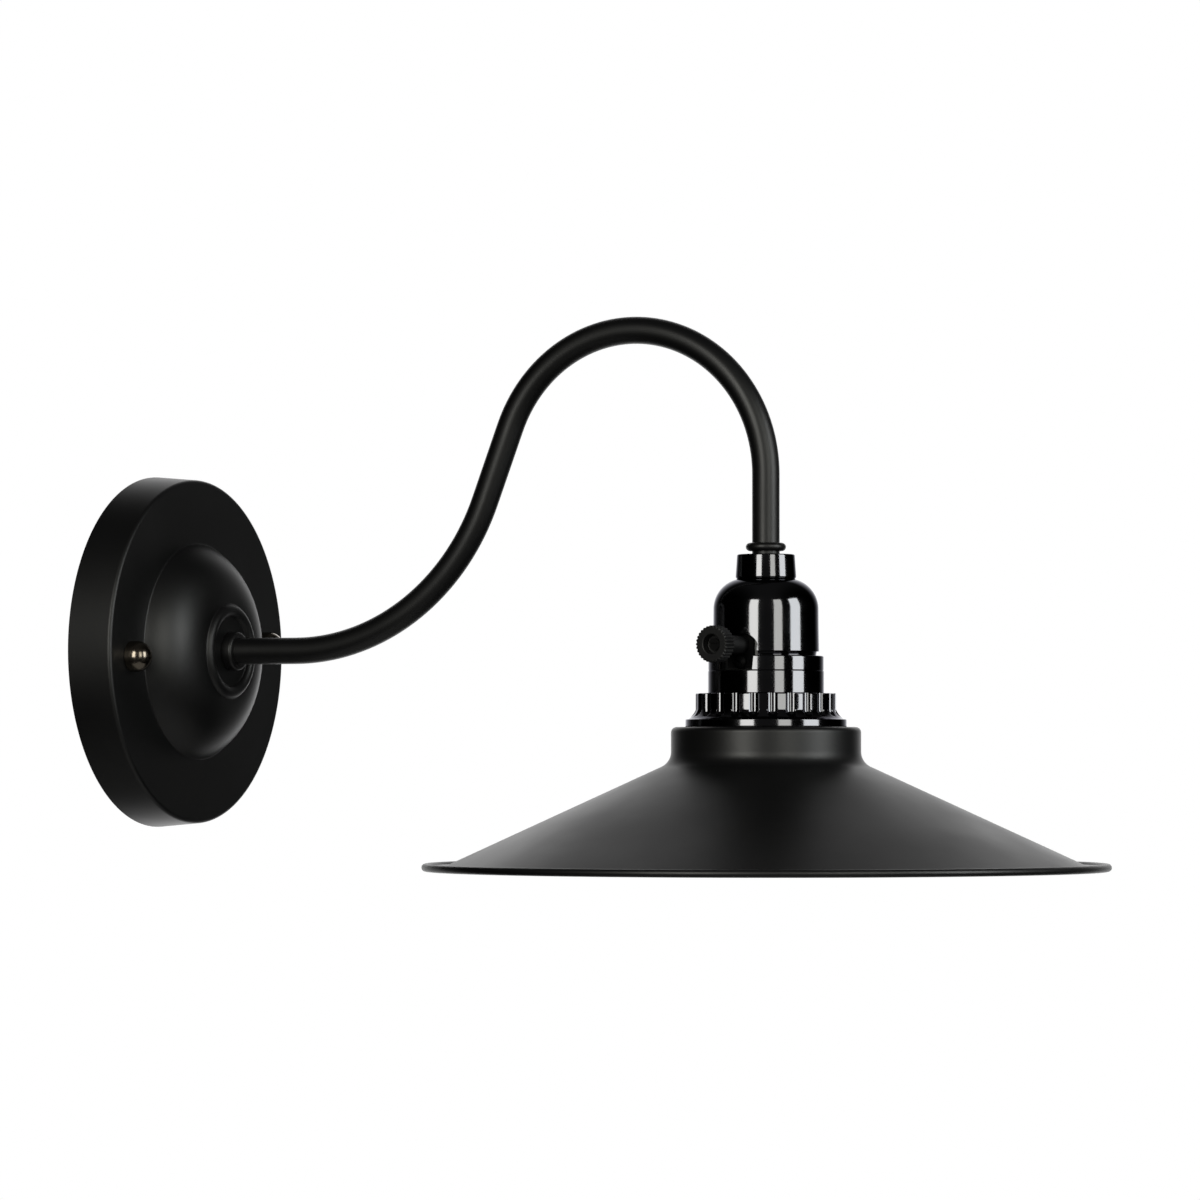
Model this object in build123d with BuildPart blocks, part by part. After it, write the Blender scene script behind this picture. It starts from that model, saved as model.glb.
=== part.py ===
from build123d import *
import os
from math import cos, radians, sin, sqrt, tan

# A gooseneck wall sconce. The wall is the plane Y = 0, the lamp reaches out along -Y, +Z is up,
# and the origin is the centre of the canopy's back edge. Every height Z is from the arm's axis
# at the canopy, and every depth is a distance out from the wall.

os.makedirs("parts", exist_ok=True)

# ---------------------------------------------------------------- driving dimensions, mm

# Fits
thread_gap = 0.08  # radial, between two threads drawn as plain cylinders
slip_gap = 0.25  # radial, where a screw or tube passes through a clearance hole
run_gap = 0.06  # radial, where the spindle turns in its bearings
touch_gap = 0.15  # between a live spring contact and what it rubs on

# Canopy: a pressed steel plate with a tapered rim, a flat face and a dome
canopy_diameter = 133.4
canopy_face_diameter = 130.4
canopy_depth = 17.5
canopy_sheet = 1.0
canopy_edge_radius = 1.4
dome_diameter = 82.0
dome_crown_diameter = 36.0  # where the dome's curve has become flat
dome_height = 13.8
bead_height = 1.8  # rolled bead round the arm's seat
bead_width = 5.0

# Arm: M10 lamp tube in one bent length
tube_diameter = 10.0
tube_wall = 1.0
reach = 255.0  # wall to the lamp's axis
lower_bend_radius = 86.0
upper_bend_radius = 54.0
rise_angle = 68.8
slant_length = 29.3
arm_collar_diameter = 14.6
arm_collar_length = 4.2
arm_collar_edge = 1.1
jam_nut_flats = 14.0
jam_nut_thickness = 3.0
jam_washer_diameter = 17.0
jam_washer_thickness = 1.0
thread_stand = 1.5  # tube left standing beyond a jam nut
bush_flange = 1.2
bush_spigot = 4.0
bush_wall = 0.8

# Wall bracket and the studs that the cap nuts pull on
bracket_width = 16.0
bracket_sheet = 1.5
bracket_step = 4.5  # how far the ends stand off the wall, for the stud heads
bracket_end_margin = 8.0  # metal beyond each stud's axis
bracket_bend_radius = 2.0
bracket_corner_radius = 4.0
box_slot_spacing = 60.0
box_slot_length = 18.0
box_slot_width = 4.5
stud_spacing = 100.0
stud_turn = 2.9  # the studs' line, turned from level as in the photograph
stud_slot_sweep = 10.0  # arc slots in the bracket that let it turn, degrees
stud_diameter = 4.0
stud_head_diameter = 7.6
stud_head_height = 2.4
stud_head_room = 1.7  # between a stud's head and the bracket's slope
stud_nut_flats = 7.0
stud_nut_thickness = 2.2
cap_nut_diameter = 11.6
cap_nut_skirt = 2.3
cap_nut_edge = 0.35
cap_nut_crown = 1.2  # metal left over the stud's end

# Supply terminals
block_size = (31.0, 13.0, 17.0)
block_corner_radius = 1.0
block_pitch = 10.5
block_lift = 20.0  # underside of the block above the arm's axis
terminal_plate_width = 24.0
barrel_diameter = 5.0
barrel_bore = 3.2
clamp_screw_diameter = 3.0
clamp_screw_head = 1.2  # left standing out of the block
block_screw_diameter = 2.5
earth_screw_x = 11.0
earth_screw_diameter = 4.0
earth_screw_head_diameter = 7.0
earth_screw_head_height = 2.2
earth_ring_diameter = 8.0
earth_ring_sheet = 0.8
crimp_diameter = 3.6
crimp_span = (6.5, 11.5)  # heights that the earth lead's crimp covers
lead_diameter = 2.2
lead_spread = 1.25  # each lead's distance from the arm's plane
lead_tail = 8.0  # length held in the terminal block
lead_turn_height = 13.0  # where the leads leave the block's line
lead_turn_depth = 11.0  # where they turn into the arm
lead_bend_radius = 5.0
lead_level = 12.6  # height at which they cross the lampholder
lead_end_bend = 3.0

# Lampholder, down from the collar
collar_top = 33.5
collar_height = 9.6
collar_top_diameter = 21.0
collar_foot_diameter = 22.0
collar_edge = 0.5
ring_gap = 1.2  # bare tube between check ring and collar
check_ring_diameter = 14.6
check_ring_height = 3.0
shell_sheet = 0.7
cap_seat_diameter = 21.4
cap_shoulder_radius = 11.3
cap_shoulder_diameter = 38.3
cap_foot_diameter = 38.7
cap_height = 25.8  # collar to the groove
groove_height = 1.5
groove_depth = 0.9
band_height = 5.4
band_diameter = 42.0
shell_diameter = 42.2
shell_plain_height = 8.2  # joint line to the shade ring
shell_neck_height = 4.6  # the part that screws up into the cap
thread_diameter = 40.0
thread_height = 30.0
shell_lip = 1.6  # rolled in at the mouth, holds the liner
notch_width = 16.0
notch_foot_width = 13.6
notch_height = 13.3
notch_corner_radius = 5.5

# Switch in its moulded housing
key_turn = 8.0  # key axis, turned from -X towards the wall
key_height = 0.4
housing_top = 7.5
housing_diameter = 33.4
housing_flat = 16.0  # lamp axis to the flat that the key enters
housing_foot = -8.0
stem_diameter = 6.6
stem_start = 12.0
knob_diameter = 13.4
knob_start = 30.8
knob_end = 36.4
knob_cup_diameter = 6.9
knob_cup_depth = 3.4
knob_flutes = 30
knob_flute_depth = 0.35
knob_edge = 0.5
spindle_diameter = 3.0
spindle_back = -13.5
spindle_end = 28.8
spindle_tap_depth = 5.5
knob_screw_diameter = 1.6
knob_screw_length = 8.7
knob_screw_head_diameter = 4.4
knob_screw_head_height = 1.4
rotor_diameter = 10.0
rotor_span = (-5.0, 5.0)
rotor_ring_width = 3.2
rotor_ring_sheet = 0.5
rotor_ring_angle = 196.0  # a half ring, so each quarter turn makes or breaks
cam_flats = 7.0
cam_span = (-9.5, -5.0)
cavity_margin = 0.8
detent_sheet = 0.4
detent_width = 3.5
detent_bend_radius = 1.0
detent_spread = 6.0  # lamp axis to each foot
spindle_plate_sheet = 0.8
spindle_plate_width = 11.0
spindle_plate_rise = 5.6  # above the key's axis
spindle_plate_drop = 8.2
plate_screw_drop = 6.2  # below the key's axis
plate_screw_head_diameter = 5.2
plate_screw_head_height = 1.8
plate_screw_diameter = 2.6
plate_screw_length = 5.0
contact_sheet = 0.5
contact_width = 4.0
contact_reach = 3.4  # leaf beyond the key's axis
terminal_radius = 11.0  # lamp axis to each lead's end
terminal_plate_length = 10.0
terminal_plate_depth = 6.0
terminal_sheet = 0.8
terminal_screw_offset = 4.4
terminal_screw_length = 5.0
neutral_strap_radius = 14.8  # lamp axis to the strap's outer face
neutral_strap_foot = 9.2
terminal_screw_diameter = 3.0
terminal_screw_head_diameter = 5.0
terminal_screw_head_height = 2.0

# Slots across the screws' heads: share of the head's width, and depth
slot_share = 0.2
slot_depth = 0.8

# Contact carrier, screw shell and centre contact
carrier_diameter = 37.8
carrier_foot = -22.0
screw_shell_bore = 26.8
screw_shell_sheet = 0.5
screw_shell_window = 18.0
screw_shell_height = 23.0
screw_shell_step = 0.5  # how much wider it is above its thread
screw_shell_thread = 17.0  # height of its threaded wall
core_screw_radius = 11.2
core_screw_diameter = 2.6
core_screw_head_diameter = 4.0
core_screw_head_height = 1.4
core_screw_rise = 8.0  # how far the core screws reach up into the housing
foot_thickness = 1.2
foot_width = 5.0
foot_span = (-7.9, -3.9)
foot_rivet = 0.4
tongue_width = 5.0
tongue_sheet = 0.5
tongue_length = 10.5
tongue_drop_angle = 22.0
tongue_gap = 0.05  # between the tongue's rounded root and its foot
liner_sheet = 0.6

# Shade and the two rings that clamp it
shade_diameter = 250.0
shade_sheet = 1.0
shade_neck_diameter = 69.0
shade_neck_corner = 2.0
shade_cone_angle = 24.7
shade_flare_radius = 6.0
shade_neck_height = 12.8
shade_lip_width = 8.8  # rim to where the cone turns into the flat lip
lip_bead_diameter = 2.8
shade_hole_gap = 0.4
ring_flute_height = 6.0
ring_flutes = 24
ring_body_diameter = 51.0
ring_flute_radius = 2.4
ring_flute_depth = 1.0
ring_flare_height = 3.4
ring_flange_diameter = 58.7
ring_flange_height = 2.8
ring_edge = 0.5
lower_ring_flange_diameter = 56.0
lower_ring_flange_height = 2.4
lower_ring_body_diameter = 47.0
lower_ring_height = 8.0

# ---------------------------------------------------------------- places worked out from them

canopy_radius = canopy_diameter / 2
tube_radius = tube_diameter / 2
lead_radius = lead_diameter / 2
seat_depth = canopy_depth + dome_height
straight_end = reach - (
    (lower_bend_radius + upper_bend_radius) * sin(radians(rise_angle))
    + slant_length * cos(radians(rise_angle))
    + upper_bend_radius
)
collar_foot = collar_top - collar_height
groove_top = collar_foot - cap_height
band_top = groove_top - groove_height
joint = band_top - band_height
ring_top = joint - shell_plain_height
ring_foot = ring_top - ring_flute_height - ring_flare_height - ring_flange_height
shell_foot = ring_top - thread_height
lower_ring_top = ring_foot - shade_sheet

# Planes: first axis outwards or across, second axis as the name says
arm_plane = Plane(origin=(0, 0, 0), x_dir=(0, -1, 0), z_dir=(-1, 0, 0))  # depth, height
wall_plane = Plane(origin=(0, 0, 0), x_dir=(1, 0, 0), z_dir=(0, 0, -1))  # across, depth
lamp_plane = Plane(origin=(0, -reach, 0), x_dir=(0, -1, 0), z_dir=(-1, 0, 0))  # radius, height
arm_axis = Axis((0, 0, 0), (0, -1, 0))
lamp_axis = Axis((0, -reach, 0), (0, 0, 1))
key_out = Vector(-cos(radians(key_turn)), sin(radians(key_turn)), 0)
key_across = Vector(-sin(radians(key_turn)), -cos(radians(key_turn)), 0)
key_origin = (0, -reach, key_height)
key_plane = Plane(origin=key_origin, x_dir=key_across, z_dir=key_out)  # across, above the key
key_axis = Axis(key_origin, tuple(key_out))
core_plane = Plane(origin=(0, -reach, 0), x_dir=key_out, z_dir=(0, 0, 1))  # along key, across it
cross_plane = Plane(origin=(0, -reach, 0), x_dir=key_across, z_dir=key_out)  # across key, height


def depth_plane(depth):
    """The plane parallel to the wall at this depth, seen from the room."""
    return Plane.XZ.offset(depth)


def turned(plane, axis, outline):
    """A piece turned about an axis from a closed outline of (radius, position) points. A point
    may have a third number, the radius of its rounded edge."""
    with BuildPart() as piece:
        with BuildSketch(plane):
            with BuildLine():
                FilletPolyline(
                    *[point[:2] for point in outline],
                    radius=[sum(point[2:]) for point in outline],
                    close=True,
                )
            make_face()
        revolve(axis=axis)
    return piece


def pins(plane, centres, steps, slot=None):
    """Equal round pins at these centres; each step is (diameter, from, to) along the normal. A
    slot is (head's diameter, face, depth): a screwdriver slot cut into that face."""
    with BuildPart() as piece:
        for diameter, low, high in steps:
            with BuildSketch(plane.offset(low)):
                with Locations(*centres):
                    Circle(diameter / 2)
            extrude(amount=high - low)
        if slot:
            head, face, depth = slot
            with BuildSketch(plane.offset(face)):
                with Locations(*centres):
                    Rectangle(2 * head, slot_share * head)
            extrude(amount=-depth, mode=Mode.SUBTRACT)
    return piece


def hex_nuts(plane, centres, flats, bore, thickness):
    """Hexagon nuts that stand on a plane, along its normal."""
    with BuildPart() as piece:
        with BuildSketch(plane):
            with Locations(*centres):
                RegularPolygon(flats / 2, 6, major_radius=False)
                Circle(bore / 2, mode=Mode.SUBTRACT)
        extrude(amount=thickness)
    return piece


def band(inner, outer, low, high):
    """The outline of a plain ring between two radii and two positions."""
    return [(inner, low), (outer, low), (outer, high), (inner, high)]


# ---------------------------------------------------------------- canopy

dome_radius = dome_diameter / 2
crown_radius = dome_crown_diameter / 2
dome_curve = ((dome_radius - crown_radius) ** 2 + dome_height**2) / (2 * dome_height)
bead_inner = crown_radius - bead_width
arm_hole = tube_radius + slip_gap
stud_hole = stud_diameter / 2 + slip_gap
stud_across = stud_spacing / 2 * cos(radians(stud_turn))
stud_rise = stud_spacing / 2 * sin(radians(stud_turn))
stud_places = [(-stud_across, -stud_rise), (stud_across, stud_rise)]

with BuildPart() as canopy:
    with BuildSketch(wall_plane):
        with BuildLine():
            FilletPolyline(
                (canopy_radius, 0),
                (canopy_face_diameter / 2, canopy_depth),
                (dome_radius, canopy_depth),
                radius=canopy_edge_radius,
            )
            RadiusArc((dome_radius, canopy_depth), (crown_radius, seat_depth), -dome_curve)
            ThreePointArc(
                (crown_radius, seat_depth),
                (crown_radius - bead_width / 2, seat_depth + bead_height),
                (bead_inner, seat_depth),
            )
            Line((bead_inner, seat_depth), (arm_hole, seat_depth))
            offset(amount=canopy_sheet, side=Side.LEFT, kind=Kind.INTERSECTION)
        make_face()
    revolve(axis=arm_axis)
    with BuildSketch(depth_plane(canopy_depth)):
        with Locations(*stud_places):
            Circle(stud_hole)
    extrude(amount=canopy_sheet, both=True, mode=Mode.SUBTRACT)
canopy.part.label = "canopy"
export_step(canopy.part, "parts/canopy.step")

# ---------------------------------------------------------------- wall bracket and its studs

bracket_front = bracket_step + bracket_sheet
bracket_end = stud_spacing / 2 + bracket_end_margin
slope_end = stud_spacing / 2 - stud_head_diameter / 2 - stud_head_room
slope_start = slope_end - bracket_step
block_across, block_thick, block_tall = block_size
terminal_plate_top = block_lift + block_tall + 2
block_screw_places = [
    (-block_pitch / 2, block_lift + block_tall / 2),
    (block_pitch / 2, block_lift + block_tall / 2),
]

with BuildPart() as mounting_bracket:
    with BuildSketch(wall_plane):
        with BuildLine():
            FilletPolyline(
                (-bracket_end, bracket_step),
                (-slope_end, bracket_step),
                (-slope_start, 0),
                (slope_start, 0),
                (slope_end, bracket_step),
                (bracket_end, bracket_step),
                radius=bracket_bend_radius,
            )
            offset(amount=bracket_sheet, side=Side.LEFT, kind=Kind.ARC)
        make_face()
    extrude(amount=bracket_width / 2, both=True)
    with BuildSketch(depth_plane(0)):
        RectangleRounded(2 * bracket_end, bracket_width, bracket_corner_radius)
    extrude(amount=bracket_front, mode=Mode.INTERSECT)
    with BuildSketch(depth_plane(0)):
        with Locations((0, terminal_plate_top - terminal_plate_width / 2)):
            RectangleRounded(terminal_plate_width, terminal_plate_width, bracket_corner_radius)
        with Locations((0, (terminal_plate_top - bracket_corner_radius) / 2)):
            Rectangle(terminal_plate_width, terminal_plate_top - bracket_corner_radius)
    extrude(amount=bracket_sheet)
    with BuildSketch(depth_plane(0)):
        with GridLocations(box_slot_spacing, 0, 2, 1):
            SlotOverall(box_slot_length, box_slot_width)
        with Locations((earth_screw_x, 0)):
            Circle(earth_screw_diameter / 2 + thread_gap)
        with Locations(*block_screw_places):
            Circle(block_screw_diameter / 2 + thread_gap)
        for side_angle in (0, 180):
            with BuildLine(mode=Mode.PRIVATE) as stud_arc:
                CenterArc(
                    (0, 0),
                    stud_spacing / 2,
                    side_angle - stud_slot_sweep / 2,
                    stud_slot_sweep,
                )
            SlotArc(stud_arc.edge(), 2 * stud_hole)
    extrude(amount=bracket_front, mode=Mode.SUBTRACT)
mounting_bracket.part.label = "mounting_bracket"
export_step(mounting_bracket.part, "parts/mounting_bracket.step")

stud_end = canopy_depth + cap_nut_skirt + cap_nut_diameter / 2 - cap_nut_crown
stud_screws = pins(
    depth_plane(bracket_step),
    stud_places,
    [
        (stud_head_diameter, -stud_head_height, 0),
        (stud_diameter, 0, stud_end - bracket_step),
    ],
)
stud_screws.part.label = "stud_screws"
export_step(stud_screws.part, "parts/stud_screws.step")

stud_nuts = hex_nuts(
    depth_plane(bracket_front),
    stud_places,
    stud_nut_flats,
    stud_diameter + 2 * thread_gap,
    stud_nut_thickness,
)
stud_nuts.part.label = "stud_nuts"
export_step(stud_nuts.part, "parts/stud_nuts.step")

cap_nut_radius = cap_nut_diameter / 2
cap_nut_bore = stud_diameter / 2 + thread_gap
with BuildPart() as canopy_cap_nuts:
    for stud_x, stud_z in stud_places:
        nut_plane = Plane(origin=(stud_x, -canopy_depth, stud_z), x_dir=(1, 0, 0), z_dir=(0, 0, -1))
        with BuildSketch(nut_plane):
            with BuildLine():
                FilletPolyline(
                    (0, stud_end - canopy_depth),
                    (cap_nut_bore, stud_end - canopy_depth),
                    (cap_nut_bore, 0),
                    (cap_nut_radius, 0),
                    (cap_nut_radius, cap_nut_skirt),
                    radius=[0, 0, cap_nut_edge],
                )
                RadiusArc(
                    (cap_nut_radius, cap_nut_skirt),
                    (0, cap_nut_skirt + cap_nut_radius),
                    -cap_nut_radius,
                )
                Line((0, cap_nut_skirt + cap_nut_radius), (0, stud_end - canopy_depth))
            make_face()
        revolve(axis=Axis((stud_x, 0, stud_z), (0, -1, 0)))
canopy_cap_nuts.part.label = "canopy_cap_nuts"
export_step(canopy_cap_nuts.part, "parts/canopy_cap_nuts.step")

# ---------------------------------------------------------------- arm and what clamps it

tube_back = seat_depth - canopy_sheet - jam_washer_thickness - jam_nut_thickness - thread_stand
tube_foot = collar_foot - shell_sheet - jam_washer_thickness - jam_nut_thickness - thread_stand


def arm_route(across):
    """The arm's centre line from its canopy end to its lamp end, in the plane X = across."""
    with BuildLine(arm_plane.offset(-across)) as route:
        level = Line((tube_back, 0), (straight_end, 0))
        lower_bend = JernArc(level @ 1, level % 1, lower_bend_radius, rise_angle)
        slant = Line(lower_bend @ 1, lower_bend @ 1 + slant_length * (lower_bend % 1))
        upper_bend = JernArc(slant @ 1, slant % 1, upper_bend_radius, -rise_angle - 90)
        Line(upper_bend @ 1, (reach, tube_foot))
    return route


with BuildPart() as arm_tube:
    with BuildSketch(depth_plane(tube_back)):
        Circle(tube_radius)
        Circle(tube_radius - tube_wall, mode=Mode.SUBTRACT)
    sweep(path=arm_route(0).line)
arm_tube.part.label = "arm_tube"
export_step(arm_tube.part, "parts/arm_tube.step")

tube_thread_bore = tube_radius + thread_gap
arm_collar = turned(
    wall_plane,
    arm_axis,
    [
        (tube_thread_bore, seat_depth),
        (arm_collar_diameter / 2, seat_depth),
        (arm_collar_diameter / 2, seat_depth + arm_collar_length, arm_collar_edge),
        (tube_thread_bore, seat_depth + arm_collar_length),
    ],
)
arm_collar.part.label = "arm_collar"
export_step(arm_collar.part, "parts/arm_collar.step")

washer_depth = seat_depth - canopy_sheet - jam_washer_thickness
arm_washer = turned(
    wall_plane,
    arm_axis,
    band(
        tube_radius + slip_gap,
        jam_washer_diameter / 2,
        washer_depth,
        washer_depth + jam_washer_thickness,
    ),
)
arm_washer.part.label = "arm_washer"
export_step(arm_washer.part, "parts/arm_washer.step")

arm_nut = hex_nuts(
    depth_plane(washer_depth - jam_nut_thickness),
    [(0, 0)],
    jam_nut_flats,
    2 * tube_thread_bore,
    jam_nut_thickness,
)
arm_nut.part.label = "arm_nut"
export_step(arm_nut.part, "parts/arm_nut.step")

bush_bore = tube_radius - tube_wall - bush_wall
bush_outline = [
    (bush_bore, -bush_flange),
    (tube_radius, -bush_flange),
    (tube_radius, 0),
    (tube_radius - tube_wall - thread_gap, 0),
    (tube_radius - tube_wall - thread_gap, bush_spigot),
    (bush_bore, bush_spigot),
]
with BuildPart() as tube_bushes:
    with BuildSketch(wall_plane):
        with BuildLine():
            Polyline(*[(r, tube_back + s) for r, s in bush_outline], close=True)
        make_face()
    revolve(axis=arm_axis)
    with BuildSketch(lamp_plane):
        with BuildLine():
            Polyline(*[(r, tube_foot + s) for r, s in bush_outline], close=True)
        make_face()
    revolve(axis=lamp_axis)
tube_bushes.part.label = "tube_bushes"
export_step(tube_bushes.part, "parts/tube_bushes.step")

ring_low = collar_top + ring_gap
ring_middle = ring_low + check_ring_height / 2
check_ring_radius = check_ring_diameter / 2
ring_shoulder = check_ring_radius - check_ring_height / 2
with BuildPart() as check_ring:
    with BuildSketch(lamp_plane):
        with BuildLine():
            Polyline(
                (ring_shoulder, ring_low + check_ring_height),
                (tube_thread_bore, ring_low + check_ring_height),
                (tube_thread_bore, ring_low),
                (ring_shoulder, ring_low),
            )
            ThreePointArc(
                (ring_shoulder, ring_low),
                (check_ring_radius, ring_middle),
                (ring_shoulder, ring_low + check_ring_height),
            )
        make_face()
    revolve(axis=lamp_axis)
check_ring.part.label = "check_ring"
export_step(check_ring.part, "parts/check_ring.step")

# ---------------------------------------------------------------- supply terminals and earth

block_foot_plane = Plane(origin=(0, 0, block_lift), x_dir=(1, 0, 0), z_dir=(0, 0, 1))
block_middle = bracket_sheet + block_thick / 2
pole_places = [(-block_pitch, -block_middle), (0, -block_middle), (block_pitch, -block_middle)]
clamp_rows = [block_lift + block_tall * 0.28, block_lift + block_tall * 0.72]
clamp_places = [(x, z) for z in clamp_rows for x in (-block_pitch, 0, block_pitch)]
block_front = bracket_sheet + block_thick

with BuildPart() as terminal_block:
    with BuildSketch(block_foot_plane):
        with Locations((0, -block_middle)):
            RectangleRounded(block_across, block_thick, block_corner_radius)
        with GridLocations(block_pitch, 0, 2, 1):
            with Locations((0, -block_front)):
                Rectangle(2.0, 6.0, mode=Mode.SUBTRACT)
        with Locations(*pole_places):
            Circle(barrel_diameter / 2 + thread_gap, mode=Mode.SUBTRACT)
    extrude(amount=block_tall)
    with BuildSketch(depth_plane(block_front)):
        with Locations(*clamp_places):
            Circle(clamp_screw_diameter / 2 + slip_gap)
        with Locations(*block_screw_places):
            Circle(block_screw_diameter / 2 + slip_gap)
    extrude(amount=-block_thick / 2, mode=Mode.SUBTRACT)
    with BuildSketch(depth_plane(block_front)):
        with Locations(*block_screw_places):
            Circle(block_screw_diameter / 2 + slip_gap)
    extrude(amount=-block_thick, mode=Mode.SUBTRACT)
terminal_block.part.label = "terminal_block"
export_step(terminal_block.part, "parts/terminal_block.step")

with BuildPart() as terminal_barrels:
    with BuildSketch(block_foot_plane):
        with Locations(*pole_places):
            Circle(barrel_diameter / 2)
            Circle(barrel_bore / 2, mode=Mode.SUBTRACT)
    extrude(amount=block_tall)
    with BuildSketch(depth_plane(block_front)):
        with Locations(*clamp_places):
            Circle(clamp_screw_diameter / 2 + thread_gap)
    extrude(amount=-block_thick / 2, mode=Mode.SUBTRACT)
terminal_barrels.part.label = "terminal_barrels"
export_step(terminal_barrels.part, "parts/terminal_barrels.step")

lead_seat = block_middle - (barrel_bore - lead_diameter) / 2
clamp_tip = lead_seat + lead_radius
clamp_screws = pins(
    depth_plane(clamp_tip),
    clamp_places,
    [(clamp_screw_diameter, 0, block_front + clamp_screw_head - clamp_tip)],
    (clamp_screw_diameter, block_front + clamp_screw_head - clamp_tip, slot_depth),
)
clamp_screws.part.label = "clamp_screws"
export_step(clamp_screws.part, "parts/clamp_screws.step")

block_screws = pins(
    depth_plane(0.3),
    block_screw_places,
    [
        (block_screw_diameter, 0, block_front - 3.0 - 0.3),
    ],
    (block_screw_diameter, block_front - 3.0 - 0.3, slot_depth),
)
block_screws.part.label = "block_screws"
export_step(block_screws.part, "parts/block_screws.step")

earth_head_depth = bracket_sheet + earth_ring_sheet
earth_screw = pins(
    depth_plane(0.3),
    [(earth_screw_x, 0)],
    [
        (earth_screw_diameter, 0, earth_head_depth - 0.3),
        (
            earth_screw_head_diameter,
            earth_head_depth - 0.3,
            earth_head_depth - 0.3 + earth_screw_head_height,
        ),
    ],
    (earth_screw_head_diameter, earth_head_depth - 0.3 + earth_screw_head_height, slot_depth),
)
earth_screw.part.label = "earth_screw"
export_step(earth_screw.part, "parts/earth_screw.step")

crimp_low, crimp_high = crimp_span
crimp_depth = bracket_sheet + crimp_diameter / 2
with BuildPart() as earth_terminal:
    with BuildSketch(depth_plane(bracket_sheet)):
        with Locations((earth_screw_x, 0)):
            Circle(earth_ring_diameter / 2)
        with Locations((earth_screw_x, crimp_high / 2)):
            Rectangle(lead_diameter, crimp_high)
        with Locations((earth_screw_x, 0)):
            Circle(earth_screw_diameter / 2 + slip_gap, mode=Mode.SUBTRACT)
    extrude(amount=earth_ring_sheet)
    with BuildSketch(Plane.XY.offset(crimp_low)):
        with Locations((earth_screw_x, -crimp_depth)):
            Circle(crimp_diameter / 2)
    extrude(amount=crimp_high - crimp_low)
    with BuildSketch(Plane.XY.offset(crimp_low)):
        with Locations((earth_screw_x, -crimp_depth)):
            Circle(lead_radius + thread_gap)
    extrude(amount=crimp_high - crimp_low, mode=Mode.SUBTRACT)
earth_terminal.part.label = "earth_terminal"
export_step(earth_terminal.part, "parts/earth_terminal.step")

with BuildPart() as earth_lead:
    with BuildLine() as earth_route:
        FilletPolyline(
            (earth_screw_x, -crimp_depth, crimp_low),
            (earth_screw_x, -crimp_depth, crimp_high + 1.5),
            (block_pitch, -lead_seat, block_lift - 3),
            (block_pitch, -lead_seat, block_lift + lead_tail),
            radius=lead_bend_radius / 2,
        )
    with BuildSketch(Plane(origin=earth_route.line @ 0, z_dir=earth_route.line % 0)):
        Circle(lead_radius)
    sweep(path=earth_route.line)
earth_lead.part.label = "earth_lead"
export_step(earth_lead.part, "parts/earth_lead.step")

# ---------------------------------------------------------------- lampholder: collar, cap and shell

socket_collar = turned(
    lamp_plane,
    lamp_axis,
    [
        (tube_thread_bore, collar_foot),
        (collar_foot_diameter / 2, collar_foot),
        (collar_top_diameter / 2, collar_top, collar_edge),
        (tube_thread_bore, collar_top),
    ],
)
socket_collar.part.label = "socket_collar"
export_step(socket_collar.part, "parts/socket_collar.step")

nut_top = collar_foot - shell_sheet - jam_washer_thickness
socket_washer = turned(
    lamp_plane,
    lamp_axis,
    band(
        tube_radius + slip_gap,
        jam_washer_diameter / 2,
        nut_top,
        nut_top + jam_washer_thickness,
    ),
)
socket_washer.part.label = "socket_washer"
export_step(socket_washer.part, "parts/socket_washer.step")

socket_nut = hex_nuts(
    core_plane.offset(nut_top - jam_nut_thickness),
    [(0, 0)],
    jam_nut_flats,
    2 * tube_thread_bore,
    jam_nut_thickness,
)
socket_nut.part.label = "socket_nut"
export_step(socket_nut.part, "parts/socket_nut.step")

with BuildPart() as key_notch:
    with BuildSketch(cross_plane):
        with BuildLine():
            FilletPolyline(
                (-notch_foot_width / 2, joint),
                (-notch_width / 2, joint + notch_height),
                (notch_width / 2, joint + notch_height),
                (notch_foot_width / 2, joint),
                radius=notch_corner_radius,
            )
            Line((notch_foot_width / 2, joint), (-notch_foot_width / 2, joint))
        make_face()
    extrude(amount=shell_diameter)

seat_radius = cap_seat_diameter / 2
shoulder_radius = cap_shoulder_diameter / 2
shoulder_centre = shoulder_radius - cap_shoulder_radius
shoulder_foot = collar_foot - sqrt(cap_shoulder_radius**2 - (seat_radius - shoulder_centre) ** 2)
groove_radius = cap_foot_diameter / 2 - groove_depth
with BuildPart() as socket_cap:
    with BuildSketch(lamp_plane):
        with BuildLine():
            Line((tube_radius + slip_gap, collar_foot), (seat_radius, collar_foot))
            RadiusArc(
                (seat_radius, collar_foot),
                (shoulder_radius, shoulder_foot),
                cap_shoulder_radius,
            )
            Polyline(
                (shoulder_radius, shoulder_foot),
                (cap_foot_diameter / 2, groove_top),
                (groove_radius, groove_top),
                (groove_radius, band_top),
                (band_diameter / 2, band_top),
                (band_diameter / 2, joint),
            )
            offset(amount=shell_sheet, side=Side.RIGHT, kind=Kind.INTERSECTION)
        make_face()
    revolve(axis=lamp_axis)
    add(key_notch.part, mode=Mode.SUBTRACT)
socket_cap.part.label = "socket_cap"
export_step(socket_cap.part, "parts/socket_cap.step")

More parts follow.
